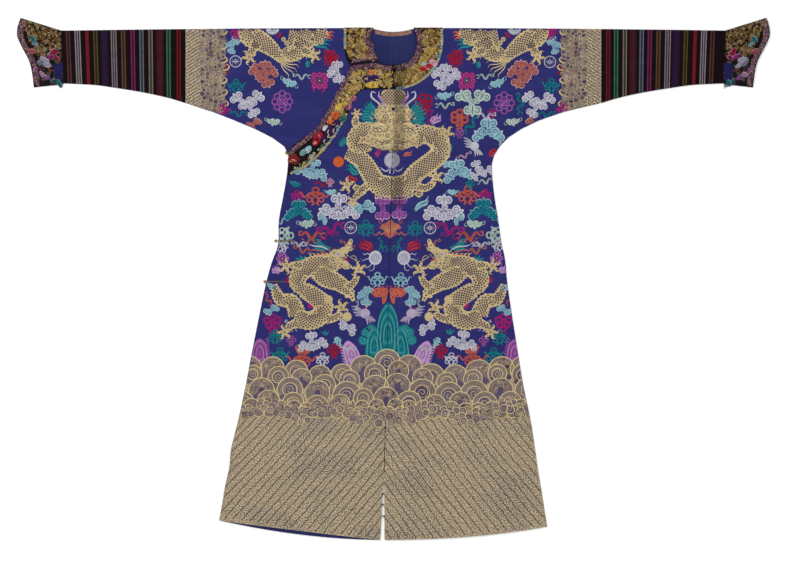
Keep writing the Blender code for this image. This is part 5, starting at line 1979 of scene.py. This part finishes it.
def middle_figures(threads):
    """What stands on the centre line between the dragons."""
    lotus(Pen(threads, 0, 548, 1.0, lift=0.3), OLD_ROSE)
    for sign in (-1, 1):
        pearl_with_ribbons(Pen(threads, sign * 39, 627, lift=0.28), sign)
        crane(Pen(threads, sign * 66, 778, 1.2, 0, mirror=sign > 0), LAVENDER_WHITE)
        wing = Pen(threads, sign * 24, 724, 1.0, 0, mirror=sign < 0, lift=0.28)
        wing.blob([(-22, 10), (-10, 16), (8, 14), (22, 10), (20, -2), (10, -12), (-4, -8),
                   (-8, -30), (-16, -24), (-20, -8)], CORAL)
        for u, v in ((-16, 8), (-4, 4), (8, 8), (17, 2), (-12, -10), (0, -4)):
            wing.ring(u, v, 5.4, 2.0, pale(CORAL, 0.2), 0.12)
            wing.spiral(u, v, 3.6, 1.2, 1.3, shade(CORAL, 0.5), 0.14)
        for u in (-20, -8, 4, 16):
            wing.stroke([(u, 10), (u + 2, 18), (u - 3, 22)], 3.6, CORAL, 0.0, SPEAR)
        rock(Pen(threads, sign * 98, 893, 0.92, 16, mirror=sign > 0, lift=0.24), LAVENDER)
        rock(Pen(threads, sign * 346, 888, 0.95, -8, mirror=sign < 0, lift=0.24), PURPLE)
        ribbon(Pen(threads, sign * 20, 592, 0.85, 50, mirror=sign < 0, lift=0.28), TEAL)
        flames(Pen(threads, sign * 50, 606, 1.1, 35, mirror=sign < 0, lift=0.28), CRIMSON, 3, 38, 7)
    main_mountain(Pen(threads, 0, 866, lift=0.26), TEAL)


LAVENDER_WHITE = (192, 176, 206)


# ---------------------------------------------------------------- collar, band and cuffs
def curl_field(threads, rng, places, tints, radius=(3.5, 6.0), lift=0.16):
    """Close-set curls and short scrolls of gold over the dark ground."""
    for x, down in places:
        pen = Pen(threads, x, down, 1.0, rng.uniform(0, 360), lift=lift)
        tint = rng.choice(tints)
        reach = rng.uniform(*radius)
        if rng.random() < 0.5:
            pen.spiral(0, 0, reach, 1.3, 1.9, tint, 0.04, start=rng.uniform(0, 6), step=1.8)
        else:
            pen.stroke([(-reach, -1), (-reach * 0.3, reach * 0.5), (reach * 0.4, -reach * 0.3),
                        (reach, reach * 0.4)], 2.3, tint, 0.04, SPEAR, 1.8)


def brocade_edge(threads, rng, line, width, lift=0.16):
    """A narrow purple strip with gold dots, along one edge."""
    pen = Pen(threads, 0, 0, lift=lift)
    flipped = [(x, -down) for x, down in line]
    pen.stroke(flipped, width, (84, 58, 74), shape=(1.0, 1.0), step=4.0)
    dense = through(np.asarray(line, float), 3.4)
    for x, down in dense:
        for _ in range(max(2, int(width / 3))):
            tint = rng.choice((OLD_GOLD, (196, 150, 110), (128, 84, 130), BROWN_GOLD, (170, 116, 140),
                               BLACK, (70, 52, 110)))
            pen_x, pen_down = x + rng.uniform(-0.4, 0.4) * width, down + rng.uniform(-0.4, 0.4) * width
            Pen(threads, pen_x, pen_down, 1.0, rng.uniform(0, 180), lift=lift).stroke(
                [(-1.9, 0), (0, 0.9), (1.9, 0)], 1.9, tint, 0.14, step=2.0)


def ring_place(angle, share):
    """A place on the collar's ring: angle from its lowest point, share from the neck."""
    turn = abs(angle)
    sign = 1 if angle >= 0 else -1
    inner = neck_point(turn)
    outer = (RING_HALF * sin(turn), NECK_WIDEST + (RING_DEPTH - NECK_WIDEST) * cos(turn))
    return (sign * mix(inner[0], outer[0], share) / MM, mix(inner[1], outer[1], share) / MM)


def side_place(sign, down, share):
    """A place on the collar beside the neck, above its curve."""
    inner = float(neck_half(down * MM)) / MM
    return sign * mix(inner, RING_HALF / MM, share), down


def collar_figures(threads, rng):
    gold = (BROWN_GOLD, BROWN_GOLD, OLD_GOLD, DULL_GOLD, YELLOW, shade(BROWN_GOLD, 0.7))
    places = []
    for _ in range(470):
        angle = rng.uniform(0.02, pi / 2)
        places.append(ring_place(angle, rng.uniform(0.28, 0.90)))
    for sign in (-1, 1):
        for _ in range(210):
            places.append(side_place(sign, rng.uniform(-58, 40), rng.uniform(0.26, 0.90)))
    for _ in range(280):
        angle = -rng.uniform(radians(40), pi / 2)
        places.append(ring_place(angle, rng.uniform(0.16, 0.9)))
    places = [place for place in places if place[0] > 3 or place[1] < 82]
    curl_field(threads, rng, places, gold)
    inner = [side_place(1, down, 0.13) for down in (-4, 10, 24, 36)]
    inner += [ring_place(radians(angle), 0.13) for angle in (84, 70, 56, 42, 28, 14, 4)]
    brocade_edge(threads, rng, inner, 17)
    outer = [side_place(1, down, 0.97) for down in (-4, 12, 28, 38)]
    outer += [ring_place(radians(angle), 0.97) for angle in (80, 66, 52, 38, 24, 12, 5)]
    pearly_edge(threads, rng, outer)
    inner = [side_place(-1, down, 0.13) for down in (-4, 10, 24, 36)]
    inner += [(-62, 50), (-62, 64), (-56, 78), (-48, 88)]
    brocade_edge(threads, rng, inner, 19)
    pearly_edge(threads, rng, [side_place(-1, down, 0.97) for down in (-4, 12, 28, 40, 54)])
    brocade_edge(threads, rng, [(-56, 80), (-84, 84), (-112, 90)], 14)
    for x, down, tint, size in ((80, 112, CRIMSON, 1.3), (96, 104, CRIMSON, 1.2), (70, 108, BROWN_GOLD, 1),
                                (84, 98, AQUA, 0.9), (106, 92, PINK, 1.2), (112, 98, PINK, 1.1)):
        Pen(threads, x, down, size, 0, lift=0.34).blob(
            [(-8, 1), (-3, 6), (4, 5), (9, 0), (4, -5), (-4, -4)], tint)


def pearly_edge(threads, rng, line):
    """Scallops of pale gold and sea green round the collar's outer edge."""
    dense = through(np.asarray(line, float), 6.5)
    for x, down in dense:
        tint = rng.choice((PALE_GREEN, GOLD, OLD_GOLD, AQUA, GOLD))
        pen = Pen(threads, x, down, lift=0.2)
        pen.disc(0, 0, rng.uniform(3.8, 5.2), shade(tint, 0.72))
        pen.spiral(0, 0, 3.6, 1.1, 1.4, tint, 0.12, start=rng.uniform(0, 6), step=1.6)


def band_place(row, share):
    """A place on the overlap band: rows as in its table, share from its upper edge."""
    rows = np.asarray(OVERLAP_BAND)
    index = np.arange(len(rows))
    inner_x, inner_down, outer_x, outer_down = (np.interp(row, index, rows[:, column])
                                                for column in range(4))
    return -mix(inner_x, outer_x, share) / MM, mix(inner_down, outer_down, share) / MM


def band_figures(threads, rng):
    gold = (BROWN_GOLD, OLD_GOLD, DULL_GOLD, YELLOW, shade(BROWN_GOLD, 0.7))
    places = [band_place(rng.uniform(0.2, 10.2), rng.uniform(0.24, 0.92)) for _ in range(640)]
    curl_field(threads, rng, places, gold)
    places = [band_place(rng.uniform(10.0, 13.6), rng.uniform(0.78, 0.96)) for _ in range(40)]
    curl_field(threads, rng, places, (GOLD, PALE_GREEN, (120, 150, 110)))
    brocade_edge(threads, rng, [band_place(row, 0.13) for row in np.arange(0.3, 14.0, 0.5)], 14)
    pearly_edge(threads, rng, [band_place(row, 0.95) for row in np.arange(9.4, 14.0, 0.4)])
    for row, share, tint, size in (
            (9.1, 0.42, YELLOW, 1.5), (9.9, 0.46, ORANGE, 1.9), (10.3, 0.40, ORANGE, 1.5),
            (10.8, 0.36, WHITE, 1.2), (10.8, 0.68, (52, 30, 82), 2.6), (10.3, 0.74, (52, 30, 82), 2.0),
            (11.4, 0.38, CRIMSON, 2.0), (11.7, 0.48, CRIMSON, 1.6), (11.3, 0.72, (46, 28, 74), 2.2),
            (12.3, 0.50, AQUA, 1.6), (12.6, 0.46, (110, 160, 160), 1.4), (13.5, 0.40, (128, 34, 40), 2.0),
            (13.3, 0.56, (120, 30, 38), 1.6), (8.6, 0.90, (150, 74, 110), 1.5),
            (7.4, 0.92, (168, 92, 120), 1.3), (9.8, 0.92, (60, 110, 100), 1.6),
            (3.2, 0.36, ORANGE, 1.2), (3.6, 0.60, (56, 34, 84), 1.9), (2.6, 0.58, (56, 34, 84), 1.7),
            (2.9, 0.84, YELLOW, 1.5), (2.3, 0.84, YELLOW, 1.3)):
        x, down = band_place(row, share)
        patch = Pen(threads, x, down, size, 48 if row > 6 else 0, lift=0.34)
        patch.blob([(-8, 0), (-4, 5), (3, 5), (8, 1), (4, -5), (-4, -5)], tint)
        for _ in range(4):
            patch.at(rng.uniform(-5, 5), rng.uniform(-3, 3), 1.0, rng.uniform(0, 180)).stroke(
                [(-2.5, 0), (0, 1), (2.5, 0)], 1.2, rng.choice((GOLD, shade(tint, 0.5))), 0.14, step=1.6)


def cuff_figures(threads, sign, rng):
    """The hoof cuff: gold dragon scrolls, coloured clouds, brocade along its edge."""
    def inside(x, down):
        low = mix(CUFF_SEAM_TOP, SLEEVE_EDGE[-1][0], max(0.0, down) / 150) / MM + 4
        share = max(0.0, down + 20) / 180
        high = float(np.interp(share, CUFF[:, 0], CUFF[:, 1])) / MM - 20
        return low < x < high

    places = []
    while len(places) < 640:
        x, down = rng.uniform(902, 1018), rng.uniform(-26, 156)
        if inside(x, down):
            places.append((sign * x, down))
    upper = [place for place in places if place[1] < 62 or (place[1] < 84 and abs(place[0]) > 940)]
    lower = [place for place in places if place[1] >= 62]
    golds = (shade(OLD_GOLD, 0.85), BROWN_GOLD, shade(BROWN_GOLD, 0.85), shade(DULL_GOLD, 0.8),
             shade(BROWN_GOLD, 0.6))
    darks = (shade(DULL_GOLD, 0.7), (40, 84, 90), (50, 40, 76), shade(BROWN_GOLD, 0.7), (120, 60, 54))
    curl_field(threads, rng, upper, golds, (3.0, 5.0))
    curl_field(threads, rng, lower[::2], darks, (3.0, 5.0))
    patch = Pen(threads, sign * 913, 116, mirror=sign < 0, lift=0.24)
    patch.blob([(-11, 26), (10, 22), (14, 0), (8, -22), (-8, -24), (-10, 0)], (34, 32, 84))
    for x, down, tint, size in ((926, 70, CRIMSON, 1.5), (935, 82, MAGENTA, 1.0), (919, 80, CRIMSON, 0.9),
                                (984, 50, TEAL, 1.0), (976, 60, AQUA, 0.7), (986, 83, CORAL, 1.0),
                                (952, 96, WHITE, 1.2), (944, 108, WHITE, 1.0),
                                (962, 106, (150, 150, 172), 1.0),
                                (958, 138, PINK, 1.0), (946, 142, PURPLE, 0.9), (974, 128, PURPLE, 0.7),
                                (914, 147, TEAL, 1.0), (928, 146, (50, 96, 100), 0.8)):
        cloud_head(Pen(threads, sign * x, down, size * 0.84, rng.uniform(-60, 60), lift=0.32),
                   shade(tint, 0.78))
    edge = []
    for share in (0.0, 0.10, 0.19, 0.28, 0.41, 0.6, 0.8, 0.97):
        x = float(np.interp(share, CUFF[:, 0], CUFF[:, 1])) / MM - 10
        depth = float(cuff_down(x * MM)) / MM
        edge.append((sign * x, mix(0.0, depth, share) + (2 if share == 0 else 0)))
    brocade_edge(threads, rng, edge, 17)


# ---------------------------------------------------------------- striped sleeves
STRIPE_GROUND = (20, 8, 12)
ROSE_BROWN = (100, 56, 56)
OLIVE = (94, 80, 38)
BLUE_GRAY = (104, 116, 134)
BEIGE = (136, 122, 108)
STRIPE_RED = (124, 26, 32)
STRIPE_GREEN = (54, 126, 92)
STRIPE_PURPLE = (42, 22, 58)
OCHRE = (110, 78, 50)
MAROON = (70, 24, 34)
DARK_ROSE = (134, 40, 98)
PALE_ROSE = (146, 130, 140)
PALE_GRAY = (158, 148, 156)
# Across a stripe: offset from its middle, and how strong its colour is there.
SINGLE = ((-5.6, 0.0), (-4.2, 0.75), (-1.6, 1.0), (1.6, 1.0), (4.2, 0.75), (5.6, 0.0))
WIDE = ((-11.0, 0.0), (-8.0, 0.8), (0.0, 1.0), (8.0, 0.8), (11.0, 0.0))
DOUBLE = ((-6.2, 0.0), (-5.2, 0.9), (-3.4, 1.0), (-2.5, 0.38), (2.5, 0.38), (3.4, 1.0), (5.2, 0.9),
          (6.2, 0.0))
TRIPLE = ((-8.2, 0.0), (-7.3, 0.9), (-5.6, 1.0), (-4.8, 0.3), (-1.7, 0.3), (-0.9, 0.9), (0.9, 0.9),
          (1.7, 0.3), (4.8, 0.3), (5.6, 1.0), (7.3, 0.9), (8.2, 0.0))
STRIPES = {
    "left": ((586, STRIPE_RED, DOUBLE), (608, STRIPE_GREEN, DOUBLE), (632, BEIGE, DOUBLE),
             (654, MAROON, WIDE), (678, BLUE_GRAY, DOUBLE), (700, DARK_ROSE, DOUBLE),
             (724, OCHRE, DOUBLE), (750, PALE_ROSE, TRIPLE), (773, STRIPE_PURPLE, WIDE),
             (799, OLIVE, DOUBLE), (824, STRIPE_RED, SINGLE), (848, PALE_GRAY, TRIPLE),
             (872, ROSE_BROWN, DOUBLE)),
    "right": ((586, STRIPE_RED, DOUBLE), (614, STRIPE_GREEN, DOUBLE), (638, MAROON, WIDE),
              (663, BEIGE, DOUBLE), (688, BLUE_GRAY, DOUBLE), (712, DARK_ROSE, DOUBLE),
              (738, OCHRE, DOUBLE), (764, PALE_ROSE, TRIPLE), (790, STRIPE_PURPLE, WIDE),
              (814, OLIVE, DOUBLE), (837, STRIPE_RED, SINGLE), (863, PALE_GRAY, TRIPLE),
              (889, ROSE_BROWN, DOUBLE)),
}


def stripe_columns(side):
    """Where the sleeve's columns stand, with each stripe's edges, and their colours."""
    ground = np.array(STRIPE_GROUND, float)
    columns = [(SLEEVE_SEAM / MM + 0.3, ground)]
    for centre, tint, profile in STRIPES[side]:
        for offset, strength in profile:
            columns.append((centre + offset, ground + (np.array(tint) - ground) * strength))
        columns.append((centre + 11.5, ground))
    columns.append((CUFF_SEAM_TOP / MM, ground))
    columns = sorted((column for column in columns if column[0] <= CUFF_SEAM_TOP / MM),
                     key=lambda column: column[0])
    kept = [columns[0]]
    for column in columns[1:]:
        if column[0] - kept[-1][0] > 0.2:
            kept.append(column)
    x = np.array([column[0] for column in kept]) * MM
    colours = np.array([linear(column[1]) for column in kept])
    across = (x - x[0]) / (x[-1] - x[0])
    return across, colours


# ---------------------------------------------------------------- closures
def tube(points, radius, sides=8):
    """Points and faces of a closed tube along a line."""
    points = np.asarray(points, float)
    along = np.gradient(points, axis=0)
    along /= np.linalg.norm(along, axis=1)[:, None]
    side = np.cross(along, (0.0, 0.0, 1.0))
    side /= np.linalg.norm(side, axis=1)[:, None]
    up = np.cross(side, along)
    turns = np.arange(sides) * 2 * pi / sides
    rings = (points[:, None, :] + radius * (np.cos(turns)[None, :, None] * side[:, None, :]
                                            + np.sin(turns)[None, :, None] * up[:, None, :]))
    faces = []
    for row in range(len(points) - 1):
        for column in range(sides):
            after = (column + 1) % sides
            faces.append((row * sides + column, row * sides + after,
                          (row + 1) * sides + after, (row + 1) * sides + column))
    faces.append(tuple(range(sides)))
    faces.append(tuple(range((len(points) - 1) * sides, len(points) * sides)))
    return rings.reshape(-1, 3), faces


def ball_button(name, skin):
    low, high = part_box("button_" + name)
    centre = (low + high) / 2
    radius = (high.x - low.x) / 2
    body = bmesh.new()
    bmesh.ops.create_uvsphere(body, u_segments=32, v_segments=20, radius=radius)
    mesh = bpy.data.meshes.new("ball_button_" + name)
    body.to_mesh(mesh)
    body.free()
    mesh.materials.append(skin)
    mesh.shade_smooth()
    piece = bpy.data.objects.new("ball_button_" + name, mesh)
    piece.location = centre
    bpy.context.scene.collection.objects.link(piece)
    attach(piece, "root")
    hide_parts("button_" + name)


def cord_loop(name, skin):
    """Two twisted strands from the ball's side to a bound end."""
    low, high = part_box("loop_" + name)
    centre = (low + high) / 2
    radius = (high.z - low.z) * 0.36
    length = high.x - low.x
    points = []
    faces = []
    for strand in (0, 1):
        share = np.linspace(0, 1, max(24, int(length / 0.0012)))
        turn = share * length / 0.0075 * 2 * pi + strand * pi
        apart = 0.0013 * np.clip(share * 6, 0.35, 1)
        line = np.stack([low.x + share * length, centre.y + apart * np.cos(turn),
                         centre.z + 0.35 * radius * np.sin(turn)], -1)
        made, strand_faces = tube(line, radius)
        faces += [tuple(corner + len(points) * len(made) for corner in face) for face in strand_faces]
        points.append(made)
    piece = mesh_piece("cord_loop_" + name, np.vstack(points), faces, skin)
    piece.data.shade_smooth()
    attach(piece, "root")
    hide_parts("loop_" + name)


def metal(name, colour, roughness):
    nodes = Nodes(name)
    place = nodes.add("ShaderNodeTexCoord").outputs["Object"]
    worn = nodes.noise(place, 500.0, 3.0)
    tint = nodes.steps(worn, [(0.3, linear(shade(colour, 0.6))), (0.7, linear(colour))])
    nodes.link(tint, nodes.shader.inputs["Base Color"])
    nodes.surface(roughness, 1.0)
    nodes.bump(worn, 0.0002)
    return nodes.material


def plain(name, colour, roughness):
    nodes = Nodes(name)
    place = nodes.add("ShaderNodeTexCoord").outputs["Object"]
    grain = nodes.noise(place, 60.0, 3.0)
    tint = nodes.steps(grain, [(0.3, linear(shade(colour, 0.99))), (0.7, linear(colour))])
    nodes.link(tint, nodes.shader.inputs["Base Color"])
    nodes.surface(roughness)
    return nodes.material


# ================================================================ camera, light and floor
CAMERA_HEIGHT = 12.0      # far enough up to look straight down on all of it
VIEW_WIDTH = 2.184        # metres across the picture, at the cloth
VIEW_CENTRE = (0.0180, -0.0046)
SENSOR_WIDTH = 36.0


def camera():
    data = bpy.data.cameras.new("camera")
    data.sensor_width = SENSOR_WIDTH
    data.lens = SENSOR_WIDTH * CAMERA_HEIGHT / VIEW_WIDTH
    data.clip_end = 40.0
    piece = bpy.data.objects.new("camera", data)
    piece.location = (*VIEW_CENTRE, CAMERA_HEIGHT)
    bpy.context.scene.collection.objects.link(piece)
    bpy.context.scene.camera = piece


def area_light(name, place, size, power, target=(0, 0, 0)):
    data = bpy.data.lights.new(name, "AREA")
    data.size = size
    data.energy = power
    piece = bpy.data.objects.new(name, data)
    piece.location = place
    piece.rotation_euler = (Vector(target) - Vector(place)).to_track_quat("-Z", "Y").to_euler()
    bpy.context.scene.collection.objects.link(piece)


def studio():
    scene = bpy.context.scene
    scene.view_settings.view_transform = "Standard"
    world = bpy.data.worlds.new("studio")
    world.use_nodes = True
    world.node_tree.nodes["Background"].inputs["Color"].default_value = (1, 1, 1, 1)
    world.node_tree.nodes["Background"].inputs["Strength"].default_value = 0.75
    scene.world = world
    area_light("key", (-1.6, 2.2, 3.4), 1.6, 60)
    area_light("overhead", (0, 0, 4.2), 3.0, 60)
    mesh = bpy.data.meshes.new("floor")
    reach = 30.0
    level_z = -0.0012
    mesh.from_pydata([(-reach, -reach, level_z), (reach, -reach, level_z), (reach, reach, level_z),
                      (-reach, reach, level_z)], [], [(0, 1, 2, 3)])
    mesh.materials.append(plain("paper", (290, 290, 290), 0.9))
    floor = bpy.data.objects.new("floor", mesh)
    scene.collection.objects.link(floor)


# ================================================================ the robe
def embroider(name, surface, limit, skin, slot, nodes, draw):
    threads = Threads(name, surface, limit)
    draw(threads)
    return threads.piece(skin, slot, nodes)


def centre_seam(threads):
    """The dark line of the seam, from below the collar to the vent."""
    Pen(threads, 0, 0, lift=0.75).stroke([(0, -168), (0, -500), (0, -800), (0, -1210)], 2.0, (40, 32, 50),
                                         shape=(1.0, 1.0), step=6.0)


def lining_pleat(threads):
    """Two faint lines down the lining that shows in the neck."""
    for x in (-6, 5):
        Pen(threads, x, 0, lift=0.3).stroke([(0, -22), (0, -60), (0, -120)], 2.0, (52, 58, 110),
                                            shape=(1.0, 1.0))


def build():
    silk = panel_silk()
    black = plain_silk("black_silk", (12, 8, 11), (20, 14, 17), (32, 24, 26), 0.6, 0.02)
    lining = plain_silk("lining_silk", (30, 36, 78), (38, 44, 90), (48, 54, 104), 0.7, 0.04, 5.0)
    brocade = plain_silk("purple_brocade", (88, 50, 70), (140, 104, 92), (186, 152, 110), 0.6, 0.1, 60.0)
    woven = thread("striped_silk", 0.62, 0.0, 0.02, 0.3)
    coloured = thread("coloured_thread", 0.55, 0.0, 0.06, 0.26)
    gilded = thread("gold_thread", 0.48, 0.15, 0.0, 0.25)
    body_panel("left", silk)
    body_panel("right", silk)
    overlap_panel(silk)
    for side in SIGN:
        striped_sleeve(side, woven)
        hoof_cuff(side, black)
    collar_band(black)
    overlap_band(black)
    inside_pieces(brocade, lining)
    panels = ("left_panel", "right_panel", "overlap_panel")

    def on_body(name, skin, draw):
        embroider(name, body_top, body_limit, skin, "blue_silk", panels, draw)

    on_body("frontal_dragon", gilded, frontal_dragon)
    for sign, side in ((-1, "right"), (1, "left")):
        on_body("profile_dragon_" + side, gilded,
                lambda threads: profile_dragon(threads, sign * 193, 721, sign > 0, 5 + sign))
        on_body("shoulder_dragon_" + side, gilded,
                lambda threads: shoulder_dragon(threads, sign < 0))
        embroider("sleeve_waves_" + side, body_top, body_limit, gilded, "blue_silk",
                  (side + "_panel",), lambda threads: sleeve_band(threads, sign, random.Random(7)))
        embroider("cuff_figures_" + side, sleeve_top, None, coloured, "figured_black",
                  ("cuff_" + side,), lambda threads: cuff_figures(threads, sign, random.Random(9)))
    on_body("small_figures", coloured, lambda threads: ground_figures(threads, random.Random(3)))
    on_body("middle_figures", coloured, middle_figures)
    on_body("waves", gilded, lambda threads: waves(threads, random.Random(5)))
    on_body("standing_water", coloured, lambda threads: standing_water(threads, random.Random(6)))
    embroider("collar_figures", collar_top, None, coloured, "figured_black", ("collar_band",),
              lambda threads: collar_figures(threads, random.Random(8)))
    embroider("band_figures", band_top, None, coloured, "figured_black", ("overlap_band",),
              lambda threads: band_figures(threads, random.Random(10)))
    on_body("centre_seam", coloured, centre_seam)
    embroider("lining_pleat", lining_top, None, coloured, "plain_lining", ("neck_lining",),
              lining_pleat)
    brass = metal("gilt_brass", (214, 170, 96), 0.35)
    cord = plain("silk_cord", (120, 104, 78), 0.6)
    for name in ("underarm", "waist", "hip"):
        ball_button(name, brass)
        cord_loop(name, cord)


camera()
studio()
build()
